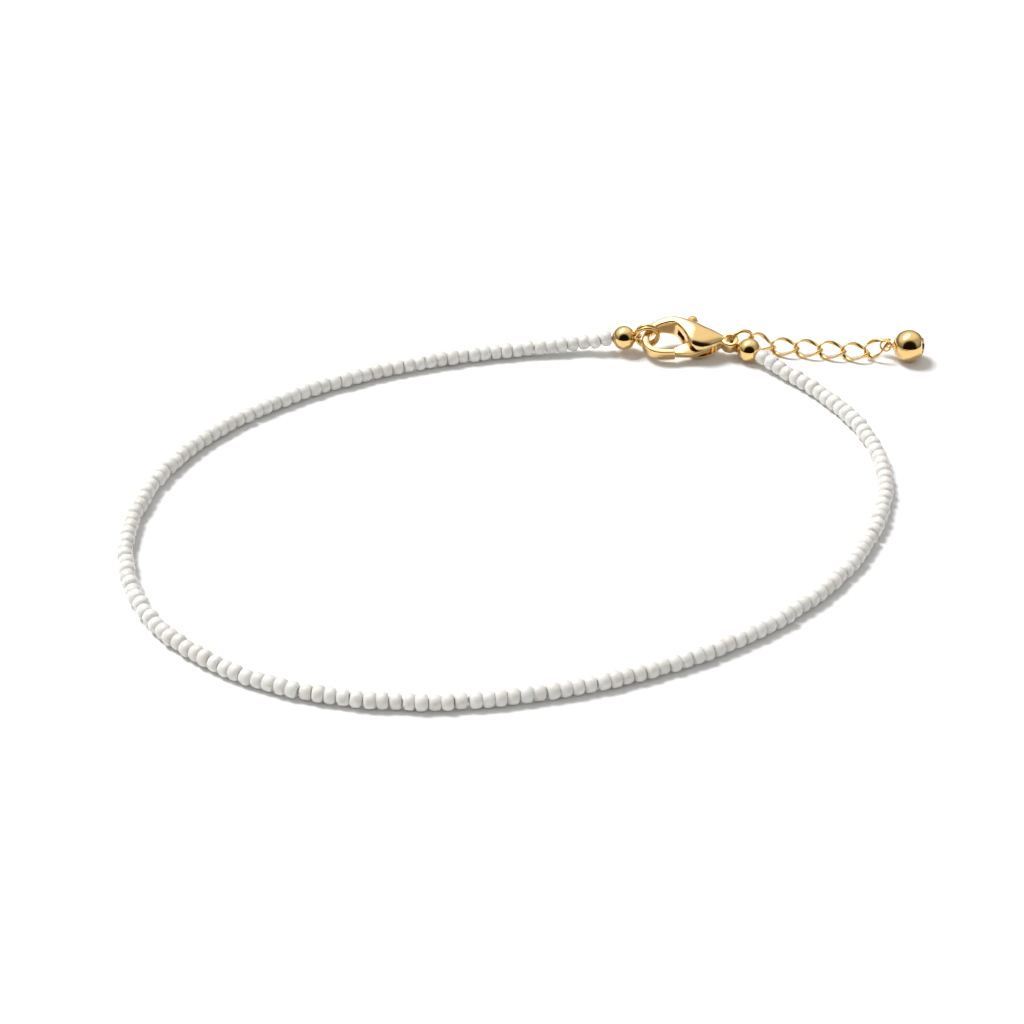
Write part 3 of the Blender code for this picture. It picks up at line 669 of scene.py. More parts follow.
def arc(radius, height, end, steps, start=0.0):
    """(radius, height) pairs of a turned profile, from start to end as angles off the axis."""
    turns = [start + (end - start) * i / steps for i in range(steps + 1)]
    return [(radius * math.sin(turn), height * math.cos(turn)) for turn in turns]


def cylinder(name, diameter, height, sides):
    return turned(name, with_mirror([(0.0, height / 2), (diameter / 2, height / 2)]), sides)


def boolean(obj, other, operation):
    modifier = obj.modifiers.new(other.name, "BOOLEAN")
    modifier.operation = operation
    modifier.object = other
    modifier.solver = "EXACT"
    other.hide_render = True


def softened(obj, width):
    """Rounds an object's sharp edges by that width."""
    modifier = obj.modifiers.new("edges", "BEVEL")
    modifier.width = width
    modifier.segments = EDGE_SEGMENTS
    modifier.limit_method = "ANGLE"
    modifier.angle_limit = SHARP_ANGLE
    modifier.use_clamp_overlap = True


def curve_through(rows, steps):
    """Catmull-Rom curve through rows of numbers, with that many steps between two rows."""
    rows = [list(row) for row in rows]
    first = [2 * a - b for a, b in zip(rows[0], rows[1])]
    last = [2 * a - b for a, b in zip(rows[-1], rows[-2])]
    padded = [first] + rows + [last]
    fine = []
    for i in range(1, len(padded) - 2):
        span = list(zip(*padded[i - 1 : i + 3]))
        for j in range(steps):
            t = j / steps
            point = []
            for a, b, c, d in span:
                bend = (2 * a - 5 * b + 4 * c - d) * t**2 + (3 * b - a - 3 * c + d) * t**3
                point.append(0.5 * (2 * b + (c - a) * t + bend))
            fine.append(point)
    fine.append(rows[-1])
    return fine


def evenly(points, count):
    """count evenly spaced points along a line of close points."""
    travelled = [0.0]
    for here, there in zip(points, points[1:]):
        travelled.append(travelled[-1] + (there - here).length)
    even = []
    span = 0
    for i in range(count):
        target = travelled[-1] * i / (count - 1)
        while span < len(points) - 2 and travelled[span + 1] < target:
            span += 1
        share = (target - travelled[span]) / (travelled[span + 1] - travelled[span])
        even.append(points[span].lerp(points[span + 1], share))
    return even


# Places, as in the CAD source


def heading(angle):
    return Vector((math.cos(angle), math.sin(angle), 0.0))


def clasp_matrix():
    return Matrix.Translation(CLASP_PLACE) @ Matrix.Rotation(CLASP_TILT, 4, "X")


def in_clasp(share):
    return Vector((share[0] * CLASP_LENGTH, share[1] * CLASP_WIDTH, 0.0))


def on_arc_round_pivot(across, radius):
    pivot = in_clasp(PIVOT)
    return Vector((pivot.x - math.sqrt(radius**2 - (across - pivot.y) ** 2), across, 0.0))


def eyelet_centre():
    return Vector(((CLASP_LENGTH - EYELET_OUTER_DIAMETER) / 2, 0.0, 0.0))


def left_ring_centre():
    out_x, out_y, in_x, in_y = CLAW_SECTIONS[HOOK_SECTION][:4]
    return clasp_matrix() @ in_clasp(((out_x + in_x) / 2, (out_y + in_y) / 2))


def right_ring_reach():
    return (RIGHT_RING_DIAMETER - RIGHT_RING_WIRE) / 2


def right_ring_centre():
    eyelet = clasp_matrix() @ eyelet_centre()
    reach = right_ring_reach() + RIGHT_RING_SHIFT
    return eyelet + heading(RIGHT_RING_HEADING) * reach + Vector((0.0, 0.0, RIGHT_RING_LIFT))


def cover_loop_diameter(ring_wire):
    return ring_wire + 2 * COVER_LOOP_PLAY + 2 * COVER_LOOP_WIRE


def left_cover_places():
    reach = (LEFT_RING_DIAMETER - LEFT_RING_WIRE) / 2
    loop = left_ring_centre() - Vector((reach, 0.0, 0.0))
    gap = LEFT_COVER_SEAT + END_COVER_LENGTH / 2
    return loop - Vector((gap, 0.0, LEFT_COVER_ON_RING_DROP)), loop


def right_cover_places():
    loop_radius = cover_loop_diameter(RIGHT_RING_WIRE) / 2
    loop = right_ring_centre() - Vector((0.0, 0.0, right_ring_reach()))
    loop.z = max(loop.z, loop_radius + CONTACT_GAP)
    reach = END_COVER_DIAMETER / 2 + loop_radius - COVER_LOOP_OVERLAP * COVER_LOOP_WIRE
    rise = END_COVER_DIAMETER / 2 - loop.z
    centre = loop + heading(RIGHT_COVER_SIDE) * math.sqrt(reach**2 - rise**2)
    centre.z = END_COVER_DIAMETER / 2
    return centre, loop


def strand_points():
    reach = END_COVER_LENGTH / 2 + CONTACT_GAP
    left = left_cover_places()[0] - Vector((reach, 0.0, 0.0))
    right = right_cover_places()[0] + heading(RIGHT_COVER_HEADING) * reach
    fine = curve_through([left, *STRAND_ROUTE, right], ROUTE_STEPS)
    points = evenly([Vector(point) for point in fine], STRAND_POINTS)
    for point in points:
        point.z = max(point.z, BEAD_DIAMETER / 2)
    return points


def link_line(count):
    """A twisted link's centre line with its angle round the link, X along the chain."""
    half_length = (LINK_PITCH + LINK_PLAY + LINK_WIRE) / 2
    half_width = (LINK_WIDTH - LINK_WIRE) / 2
    points = []
    for i in range(count):
        turn = math.tau * i / count
        lean = LINK_TWIST * math.cos(turn)
        across = half_width * math.sin(turn)
        along = half_length * math.cos(turn)
        points.append(Vector((along, across * math.cos(lean), across * math.sin(lean))))
    return points


def resting_height(turn):
    """How high a link lies at this turn, with its strip clear of the surface."""
    return sizes().link_strip / 2 - min((turn @ point).z for point in link_line(RESTING_POINTS))


def link_turn(number, rise=0.0):
    toward, lean = LINK_TURNS[number]
    return Euler((math.radians(lean), -rise, math.radians(toward)))


def link_direction(number):
    return heading(math.radians(LINK_TURNS[number][0]))


def chain_places():
    """Middle and turn of each link, and where the last one holds the end loop."""
    low = resting_height(link_turn(1).to_matrix())
    wire = right_ring_centre() + heading(RIGHT_RING_HEADING) * right_ring_reach()
    start = wire - link_direction(0) * ((RIGHT_RING_WIRE - LINK_PLAY) / 2 + CONTACT_GAP)
    rise = math.asin((low - start.z) / LINK_PITCH)
    joint = start + link_turn(0, rise).to_matrix() @ Vector((LINK_PITCH, 0.0, 0.0))
    places = [((start + joint) / 2, link_turn(0, rise))]
    for number in range(1, len(LINK_TURNS) - 1):
        turn = link_turn(number)
        middle = joint + link_direction(number) * LINK_PITCH / 2
        middle.z = resting_height(turn.to_matrix())
        places.append((middle, turn))
        joint = joint + link_direction(number) * LINK_PITCH
        joint.z = middle.z
    # The last link rises from the surface to the ball's height
    turn = link_turn(len(LINK_TURNS) - 1, LAST_LINK_RISE)
    step = turn.to_matrix() @ Vector((LINK_PITCH, 0.0, 0.0))
    middle = joint + step / 2
    middle.z = max(middle.z, resting_height(turn.to_matrix()))
    places.append((middle, turn))
    return places, middle + step / 2


def pin_eye_reach():
    return (END_BALL_DIAMETER + HEAD_PIN_EYE_DIAMETER) / 2 - HEAD_PIN_EYE_WIRE / 2


def end_ball_axis():
    level = heading(END_BALL_HEADING) * math.cos(END_BALL_RISE)
    return level + Vector((0.0, 0.0, math.sin(END_BALL_RISE)))


def end_ball_centre():
    centre = chain_places()[1] + heading(END_BALL_HEADING) * END_BALL_REACH
    centre.z = END_BALL_DIAMETER / 2
    return centre


def end_loop_place():
    return end_ball_centre() - end_ball_axis() * END_LOOP_REACH, Euler(END_LOOP_TURN)


def facing(direction):
    """A turn that points local Z along direction."""
    return Vector(direction).to_track_quat("Z", "Y").to_matrix().to_4x4()


# Seed beads


def geometry_tree(name, inputs):
    """A new geometry tree with these inputs (name: socket type), and its input sockets."""
    tree = bpy.data.node_groups.new(name, "GeometryNodeTree")
    for label, kind in {"Geometry": "Geometry", **inputs}.items():
        tree.interface.new_socket(label, in_out="INPUT", socket_type="NodeSocket" + kind)
    tree.interface.new_socket("Geometry", in_out="OUTPUT", socket_type="NodeSocketGeometry")
    return tree, add_node(tree, "NodeGroupInput").outputs


def grow(obj, tree, values):
    """Puts a geometry tree on an object with these input values, and bakes it into a plain mesh."""
    modifier = obj.modifiers.new(tree.name, "NODES")
    modifier.node_group = tree
    for item in tree.interface.items_tree:
        if item.in_out == "INPUT" and item.name in values:
            modifier[item.identifier] = values[item.name]
    return settle(obj)


def bead_mesh():
    """One seed bead along Z, 1 across and 1 long: a rounded barrel with a straight hole."""
    shape = bmesh.new()
    rows = []
    for i in range(BEAD_SIDES):
        around = Matrix.Rotation(math.tau * i / BEAD_SIDES, 4, "Z")
        profile = [Vector((radius, 0.0, height)) for radius, height in with_mirror(BEAD_PROFILE)]
        rows.append([shape.verts.new(around @ point) for point in profile])
    bridge(shape, rows, closed=True)
    return mesh_object("bead_shape", shape, sharp=None)


def math_node(tree, operation, *values):
    return add_node(tree, "ShaderNodeMath", {"operation": operation, **dict(enumerate(values))})


def random_value(tree, seed, number, low, high):
    """A random float between low and high for each point. number sets one draw apart from another."""
    own_seed = math_node(tree, "ADD", seed, float(number))
    values = {"data_type": "FLOAT", 2: low, 3: high, "Seed": own_seed}
    return add_node(tree, "FunctionNodeRandomValue", values).outputs[1]


def finished_instances(tree, instances, material):
    """Makes instances real, gives them their material and hands them on as the tree's result."""
    real = add_node(tree, "GeometryNodeRealizeInstances", {"Geometry": instances})
    coated = add_node(tree, "GeometryNodeSetMaterial", {"Geometry": real, "Material": material})
    add_node(tree, "NodeGroupOutput", {"Geometry": coated})


def bead_tree():
    """Beads set at even steps along a line, each a little off in size, place and lean."""
    tree, given = geometry_tree(
        "seed_beads",
        {
            "Bead": "Object", "Count": "Int", "Diameter": "Float", "Length": "Float",
            "Spread": "Float", "Shift": "Float", "Tilt": "Float", "Seed": "Int",
            "Material": "Material",
        },
    )
    node = partial(add_node, tree)
    maths = partial(math_node, tree)
    draw = partial(random_value, tree, given["Seed"])
    line = node("GeometryNodeMeshToCurve", {"Mesh": given["Geometry"]})
    fine = maths("MULTIPLY_ADD", given["Count"], 2.0, 1.0)
    steps = node("GeometryNodeResampleCurve", {"Curve": line, "Count": fine})
    # Every second point is a bead's middle, so the strand starts and ends with half a bead's room
    odd = maths("MODULO", node("GeometryNodeInputIndex"), 2.0)
    points = node("GeometryNodeCurveToPoints", {"mode": "EVALUATED", "Curve": steps})
    beads = node(
        "GeometryNodeSeparateGeometry", {"domain": "POINT", "Geometry": points, "Selection": odd}
    )
    # Capture each bead's heading before the points are moved
    heading_values = {"data_type": "QUATERNION", "Name": "along"}
    held = node(
        "GeometryNodeStoreNamedAttribute",
        {
            **heading_values, "domain": "POINT", "Geometry": beads,
            "Value": points.outputs["Rotation"],
        },
    )
    along = node("GeometryNodeInputNamedAttribute", heading_values).outputs["Attribute"]

    low = maths("SUBTRACT", 1.0, given["Spread"])
    high = maths("ADD", 1.0, given["Spread"])
    girth = draw(0, low, high)
    length = draw(1, low, high)
    back = maths("MULTIPLY", given["Shift"], -1.0)
    sideways = draw(2, back, given["Shift"])
    ahead = draw(3, back, given["Shift"])
    lift = draw(4, 0.0, given["Shift"])
    # A thicker bead's middle lies higher on the surface
    growth = maths("MULTIPLY", maths("SUBTRACT", girth, 1.0), given["Diameter"])
    rise = maths("MULTIPLY_ADD", growth, 0.5, maths("MULTIPLY", lift, BEAD_LIFT))
    local = node("ShaderNodeCombineXYZ", {"X": sideways, "Z": ahead})
    shift = node("FunctionNodeRotateVector", {"Vector": local, "Rotation": along})
    level = {"operation": "MULTIPLY", 0: shift, 1: (1.0, 1.0, 0.0)}
    up = node("ShaderNodeCombineXYZ", {"Z": rise})
    offset = node(
        "ShaderNodeVectorMath", {"operation": "ADD", 0: node("ShaderNodeVectorMath", level), 1: up}
    )
    moved = node("GeometryNodeSetPosition", {"Geometry": held, "Offset": offset})

    lean_back = maths("MULTIPLY", given["Tilt"], -1.0)
    lean = node(
        "ShaderNodeCombineXYZ",
        {
            "X": draw(5, lean_back, given["Tilt"]),
            "Y": draw(6, lean_back, given["Tilt"]),
            "Z": draw(7, 0.0, math.tau),
        },
    )
    turn = node("FunctionNodeEulerToRotation", {"Euler": lean})
    rotation = node(
        "FunctionNodeRotateRotation",
        {"rotation_space": "LOCAL", "Rotation": along, "Rotate By": turn},
    )
    width = maths("MULTIPLY", girth, given["Diameter"])
    own_length = maths("MULTIPLY", length, given["Length"])
    size = node("ShaderNodeCombineXYZ", {"X": width, "Y": width, "Z": own_length})
    bead = node("GeometryNodeObjectInfo", {"Object": given["Bead"]}).outputs["Geometry"]
    placed = node(
        "GeometryNodeInstanceOnPoints",
        {"Points": moved, "Instance": bead, "Rotation": rotation, "Scale": size},
    )
    toned = node(
        "GeometryNodeStoreNamedAttribute",
        {
            "data_type": "FLOAT", "domain": "INSTANCE", "Name": "bead_tone", "Geometry": placed,
            "Value": draw(8, 0.0, BEAD_TONES),
        },
    )
    finished_instances(tree, toned, given["Material"])
    return tree


def line_object(name, points):
    """A mesh of edges along points."""
    mesh = bpy.data.meshes.new(name)
    edges = [(i, i + 1) for i in range(len(points) - 1)]
    mesh.from_pydata([tuple(point) for point in points], edges, [])
    return new_object(name, mesh)


def make_beads():
    size = sizes()
    bead = bead_mesh()
    strand = line_object("seed_beads", [LAYOUT @ point for point in strand_points()])
    values = {
        "Bead": bead, "Count": size.bead_count, "Diameter": BEAD_DIAMETER,
        "Length": size.bead_length, "Spread": size.bead_spread, "Shift": size.bead_shift,
        "Tilt": size.bead_tilt, "Seed": size.bead_seed, "Material": bead_glass(),
    }
    grow(strand, bead_tree(), values)
    strand.data.shade_smooth()
    discard(bead)
    dress(strand, "anklet", "white_glass", None, "bead_strand")


def make_thread():
    """The thread through the beads and into both balls."""
    points = [LAYOUT @ point for point in strand_points()]
    left = LAYOUT @ left_cover_places()[0]
    right = LAYOUT @ right_cover_places()[0]
    line = evenly([left, *points, right], STRAND_POINTS)
    shape = bmesh.new()
    rows = []
    for i, point in enumerate(line):
        ahead = line[min(i + 1, len(line) - 1)] - line[max(i - 1, 0)]
        turn = facing(ahead).to_3x3()
        row = []
        for j in range(THREAD_SIDES):
            ring = heading(math.tau * j / THREAD_SIDES) * sizes().thread / 2
            row.append(shape.verts.new(point + turn @ ring))
        rows.append(row)
    spacing = MM_PER_METRE * (line[1] - line[0]).length
    around = MM_PER_METRE * math.pi * sizes().thread / THREAD_SIDES
    bridge(shape, rows, closed=False, steps=(spacing, around))
    capped(shape, rows)
    dress(mesh_object("beading_thread", shape), "anklet", "white_glass", nylon_thread())


# Ball ends and rings


def cover_profile():
    """The squat ball's outline from its closed back round to the rolled mouth and a little way in."""
    half = END_COVER_LENGTH / 2
    points = [(0.0, -half)]
    for i in range(COVER_ARC_STEPS + 1):
        rise = -COVER_ARC + 2 * COVER_ARC * i / COVER_ARC_STEPS
        out = END_COVER_DIAMETER / 2 * math.cos(rise)
        points.append((out, half * math.sin(rise) / math.sin(COVER_ARC)))
    # Flat face, rolled edge and the hole's wall
    points.append((MOUTH_RADIUS + MOUTH_ROLL, half))
    for i in range(1, MOUTH_STEPS + 1):
        turn = math.pi / 2 * i / MOUTH_STEPS
        out = MOUTH_RADIUS + MOUTH_ROLL * (1 - math.sin(turn))
        points.append((out, half - MOUTH_ROLL * (1 - math.cos(turn))))
    return points + [(MOUTH_RADIUS, half - MOUTH_DEPTH), (0.0, half - MOUTH_DEPTH)]


def make_ball_end(name, centre, axis, loop_centre, loop_axis, ring_wire):
    """A ball end with its loop, which is soldered on at the back."""
    ball = turned(name + "_ball", cover_profile())
    ball.matrix_world = Matrix.Translation(centre) @ facing(axis)
    loop = wire_ring(name + "_loop", cover_loop_diameter(ring_wire), COVER_LOOP_WIRE)
    loop.matrix_world = Matrix.Translation(loop_centre) @ facing(loop_axis)
    toward = (loop_centre - centre).normalized()
    foot = turned(name + "_foot", COVER_FOOT, COVER_FOOT_SIDES)
    foot_place = centre + toward * (END_COVER_LENGTH / 2 - COVER_FOOT_SINK)
    foot.matrix_world = Matrix.Translation(foot_place) @ facing(toward)
    cover = joined(name + "_cover", [settle(obj, LAYOUT) for obj in (ball, loop, foot)])
    dress(cover, "anklet", "gold_plate", polished_gold(), name)


def make_ball_ends():
    centre, loop = left_cover_places()
    make_ball_end("left_end_ball", centre, (-1, 0, 0), loop, (0, 0, 1), LEFT_RING_WIRE)
    centre, loop = right_cover_places()
    axis = heading(RIGHT_COVER_HEADING)
    ring_axis = heading(RIGHT_RING_HEADING)
    make_ball_end("right_end_ball", centre, axis, loop, ring_axis, RIGHT_RING_WIRE)


def hang_ring(ring, centre, rotation, node):
    """Puts a ring of drawn wire in its place."""
    ring.location = centre
    ring.rotation_euler = rotation
    settle(ring, LAYOUT)
    dress(ring, "anklet", "gold_plate", drawn_gold(), node)


def split_ring(name, diameter, wire, turns):
    """A key-ring coil in the XY plane: one round wire that lies beside itself."""
    shape = bmesh.new()
    middle = (diameter - wire) / 2
    rows = []
    for i in range(turns * RING_STEPS + 1):
        travel = i / RING_STEPS
        # The wire steps sideways by its own width where one turn ends and the next begins
        step = min(max((travel - SPLIT_RING_STEP) / SPLIT_RING_STEP_LENGTH, 0.0), 1.0)
        aside = (step * step * (3 - 2 * step) - 0.5) * wire * SPLIT_RING_PITCH
        angle = math.tau * travel + SPLIT_RING_START
        rows.append(ring_row(shape, middle, wire, angle, aside))
    bridge(shape, rows, closed=False, steps=ring_grid(middle, wire, RING_STEPS))
    capped(shape, rows)
    return mesh_object(name, shape)


def make_rings():
    left = split_ring("left_ring", LEFT_RING_DIAMETER, SPLIT_RING_WIRE, SPLIT_RING_TURNS)
    lean = Euler((UPRIGHT + LEFT_RING_LEAN, 0.0, 0.0))
    hang_ring(left, left_ring_centre(), lean, "left_jump_ring")
    right = wire_ring(
        "right_ring", RIGHT_RING_DIAMETER, RIGHT_RING_WIRE, RIGHT_RING_SLIT, RIGHT_RING_SLIT_AT
    )
    turn = Euler((UPRIGHT, 0.0, RIGHT_RING_HEADING))
    hang_ring(right, right_ring_centre(), turn, "right_jump_ring")


# Clasp


def claw_rows():
    """Fine rows of outer edge, inner edge, depth and squareness along the claw, in metres."""
    reach = GATE_REACH * CLASP_LENGTH + LEVER_GATE_GAP
    outer, inner = [on_arc_round_pivot(share * CLASP_WIDTH, reach) for share in TIP_ACROSS]
    depth, outer_square, inner_square = TIP_SECTION
    rows = [(*outer.xy, *inner.xy, depth * CLASP_DEPTH, outer_square, inner_square)]
    for out_x, out_y, in_x, in_y, depth, outer_square, inner_square in CLAW_SECTIONS:
        outer = in_clasp((out_x, out_y))
        inner = in_clasp((in_x, in_y))
        rows.append((*outer.xy, *inner.xy, depth * CLASP_DEPTH, outer_square, inner_square))
    return curve_through(rows, CLAW_STEPS)


def claw_section(out_x, out_y, in_x, in_y, depth, outer_square, inner_square):
    middle = Vector(((out_x + in_x) / 2, (out_y + in_y) / 2, 0.0))
    half = Vector(((out_x - in_x) / 2, (out_y - in_y) / 2, 0.0))
    points = []
    for i in range(SECTION_POINTS):
        turn = math.tau * i / SECTION_POINTS
        power = 2 / (outer_square if math.cos(turn) > 0 else inner_square)
        side = math.copysign(abs(math.cos(turn)) ** power, math.cos(turn))
        rise = math.copysign(abs(math.sin(turn)) ** power, math.sin(turn))
        points.append(middle + side * half + Vector((0.0, 0.0, rise * depth / 2)))
    return points


def eyelet_collar():
    edge = EYELET_EDGE
    outer = EYELET_OUTER_DIAMETER / 2 - edge
    half = EYELET_HEIGHT / 2
    quarter = arc(edge, edge, math.pi / 2, EDGE_STEPS)
    rounded = [(outer + out, half - edge + up) for out, up in quarter]
    return turned("eyelet_collar", with_mirror([(0.0, half), *rounded]), TURNED_SIDES)


def upper_lip():
    """Cuts the claw's upper half away along the lip that shows the lever."""
    edge = [in_clasp(share).xy for share in LIP_OUTLINE]
    curve = [Vector(point) for point in curve_through(edge[LIP_CURVE], OUTLINE_STEPS)]
    outline = edge[: LIP_CURVE.start] + curve + edge[LIP_CURVE.stop :]
    return prism("upper_lip", outline, LEVER_THICKNESS / 2, CLASP_DEPTH)


def make_clasp():
    """The claw with its eyelet, slot and lip."""
    shape = bmesh.new()
    rows = [[shape.verts.new(point) for point in claw_section(*row)] for row in claw_rows()]
    bridge(shape, rows, closed=False)
    capped(shape, rows)
    body = mesh_object("clasp_claw", shape)

    collar = eyelet_collar()
    hole = cylinder("eyelet_hole", EYELET_HOLE_DIAMETER, EYELET_HEIGHT * 2, TURNED_SIDES)
    bore_length = PIN_LENGTH + 2 * CONTACT_GAP
    bore = cylinder("pin_bore", PIN_DIAMETER + PIN_PLAY, bore_length, PIN_SIDES)
    slot_half = LEVER_THICKNESS / 2 + LEVER_SIDE_PLAY
    slot_edge = [in_clasp(share).xy for share in SLOT_OUTLINE]
    slot = prism("lever_slot", slot_edge, -slot_half, slot_half)
    lip = upper_lip()
    collar.location = hole.location = eyelet_centre()
    bore.location = in_clasp(PIVOT)
    boolean(body, collar, "UNION")
    for tool in (hole, slot, lip, bore):
        boolean(body, tool, "DIFFERENCE")
    settle(body)
    discard(collar, hole, bore, slot, lip)
    smoothed(body, SHARP_ANGLE)
    softened(body, CLAW_EDGE)
    smoothed(settle(body, LAYOUT @ clasp_matrix()), CASTING_SHARP_ANGLE)
    dress(body, "anklet", "cast_gold_plate", cast_gold(), "clasp_body")


def make_hinge_pin():
    """The rivet with its domed ends."""
    half = PIN_LENGTH / 2 - PIN_DOME
    dome = arc(PIN_DIAMETER / 2, PIN_DOME, math.pi / 2, EDGE_STEPS)
    pin = turned("hinge_pin", with_mirror([(out, half + up) for out, up in dome]), PIN_SIDES)
    pin.location = in_clasp(PIVOT)
    settle(pin, LAYOUT @ clasp_matrix())
    dress(pin, "anklet", "gold_plate", polished_gold(), "clasp_pin")


def lever_outline():
    """The lever's outline round the pivot, anticlockwise from the gate's near corner."""
    pivot = in_clasp(PIVOT)
    reach = GATE_REACH * CLASP_LENGTH
    near, far = [share * CLASP_WIDTH for share in GATE_ACROSS]
    start = on_arc_round_pivot(near, reach)
    near_edge = [start.xy] + [in_clasp(share).xy for share in LEVER_NEAR_EDGE]
    boss = []
    for i in range(LEVER_BOSS_STEPS + 1):
        turn = BOSS_ARC[0] + (BOSS_ARC[1] - BOSS_ARC[0]) * i / LEVER_BOSS_STEPS
        boss.append((pivot + heading(turn) * LEVER_BOSS_RADIUS).xy)
    near_fine = [Vector(p) for p in curve_through(near_edge, OUTLINE_STEPS)][1:]
    far_edge = [in_clasp(share).xy for share in LEVER_FAR_EDGE]
    end = on_arc_round_pivot(far, reach)
    far_fine = [Vector(p) for p in curve_through(far_edge[2:] + [end.xy], OUTLINE_STEPS + 1)]
    points = near_fine + boss + far_edge[:2] + far_fine[:-1]
    for i in range(GATE_STEPS + 1):
        points.append(on_arc_round_pivot(far + (near - far) * i / GATE_STEPS, reach).xy)
    return [point - pivot.xy for point in points]


def make_lever():
    """The gate on its boss, with the thumb knob."""
    half = LEVER_THICKNESS / 2
    lever = prism("lever_gate", lever_outline(), -half, half)
    bore = cylinder("lever_bore", PIN_DIAMETER + PIN_PLAY, LEVER_THICKNESS * 2, PIN_SIDES)
    boolean(lever, bore, "DIFFERENCE")
    softened(lever, LEVER_EDGE)
    lever.location = bore.location = in_clasp(PIVOT)
    settle(lever, LAYOUT @ clasp_matrix())
    discard(bore)
    smoothed(lever, CASTING_SHARP_ANGLE)
    dress(lever, "lever", "cast_gold_plate", cast_gold(), "clasp_lever")

    radius = KNOB_DIAMETER / 2
    knob = turned("lever_knob", arc(radius, radius, math.pi, KNOB_STEPS), KNOB_SIDES, sharp=None)
    for vertex in knob.data.vertices:
        sand = sum(share * noise.noise(vertex.co * size) for size, share in KNOB_GRAIN)
        vertex.co += vertex.co.normalized() * sand * KNOB_GRAIN_DEPTH
    knob.location = in_clasp(KNOB_SEAT_PLACE) + Vector((0.0, radius - KNOB_SEAT, 0.0))
    settle(knob, LAYOUT @ clasp_matrix())
    dress(knob, "lever", "cast_gold_plate", sandy_gold())


# Extension chain


def link_mesh():
    """One curb link: a wire flattened to a strip whose broad side turns as the link twists."""
    strip = sizes().link_strip / 2
    thick = sizes().link_thickness / 2
    line = link_line(LINK_STEPS)
    shape = bmesh.new()
    rows = []
    for i, point in enumerate(line):
        ahead = (line[(i + 1) % LINK_STEPS] - line[i - 1]).normalized()
        turn = math.tau * i / LINK_STEPS
        lean = LINK_TWIST * math.cos(turn)
        across = Vector((0.0, -math.sin(lean), math.cos(lean)))
        up = (across - across.project(ahead)).normalized()
        out = ahead.cross(up)
        roll = turn - LINK_STRIP_ROLL
        broad = out * math.cos(roll) + up * math.sin(roll)
        narrow = ahead.cross(broad)
        row = []
        for j in range(LINK_SIDES):
            angle = math.tau * j / LINK_SIDES
            edge = broad * strip * math.cos(angle) + narrow * thick * math.sin(angle)
            row.append(shape.verts.new(point + edge))
        rows.append(row)
    bridge(shape, rows, closed=True, steps=LINK_GRID)
    return mesh_object("link_shape", shape, sharp=None)


def link_tree():
    """One link on each point, turned by the point's own angles."""
    tree, given = geometry_tree("chain_links", {"Link": "Object", "Material": "Material"})
    node = partial(add_node, tree)
    angles = node(
        "GeometryNodeInputNamedAttribute", {"data_type": "FLOAT_VECTOR", "Name": "turn"}
    ).outputs["Attribute"]
    turn = node("FunctionNodeEulerToRotation", {"Euler": angles})
    link = node("GeometryNodeObjectInfo", {"Object": given["Link"]}).outputs["Geometry"]
    placed = node(
        "GeometryNodeInstanceOnPoints",
        {"Points": given["Geometry"], "Instance": link, "Rotation": turn},
    )
    finished_instances(tree, placed, given["Material"])
    return tree


def make_chain():
    """The links and the end loop."""
    places = chain_places()[0]
    mesh = bpy.data.meshes.new("extension_chain")
    mesh.from_pydata([tuple(LAYOUT @ middle) for middle, _ in places], [], [])
    turns = mesh.attributes.new("turn", "FLOAT_VECTOR", "POINT")
    for entry, (_, turn) in zip(turns.data, places):
        entry.vector = Vector(turn)
    chain = new_object("extension_chain", mesh)
    link = link_mesh()
    grow(chain, link_tree(), {"Link": link, "Material": drawn_gold()})
    chain.data.shade_smooth()
    discard(link)
    nodes = [f"chain_link_{number + 1}" for number in range(len(places))]
    dress(chain, "anklet", "gold_plate", None, *nodes)

    loop = wire_ring(
        "end_loop", END_LOOP_DIAMETER, END_LOOP_WIRE, END_LOOP_SLIT, END_LOOP_SLIT_AT
    )
    hang_ring(loop, *end_loop_place(), "chain_end_loop")


def end_ball_place():
    return LAYOUT @ Matrix.Translation(end_ball_centre()) @ facing(end_ball_axis())


def make_end_ball():
    """The drilled ball, with a flat face that holds the pin's head in a recess."""
    radius = END_BALL_DIAMETER / 2
    bore = HEAD_PIN_WIRE / 2 + CONTACT_GAP
    face = radius - END_BALL_FACE
    seat = face - END_BALL_RECESS
    recess = PIN_HEAD_DIAMETER / 2 + PIN_HEAD_PLAY
    start = math.acos((face + FACE_EDGE) / radius)
    end = math.pi - math.asin(bore / radius)
    rim = radius * math.sin(start) - 0.4 * FACE_EDGE
    profile = [(bore, seat), (recess, seat), (recess, face), (rim, face)]
    profile += arc(radius, radius, end, BALL_STEPS, start)
    ball = turned("end_ball_shell", profile + [profile[0]], TURNED_SIDES)
    weld(ball)
    settle(ball, end_ball_place())
    dress(ball, "anklet", "gold_plate", polished_gold(), "end_ball")


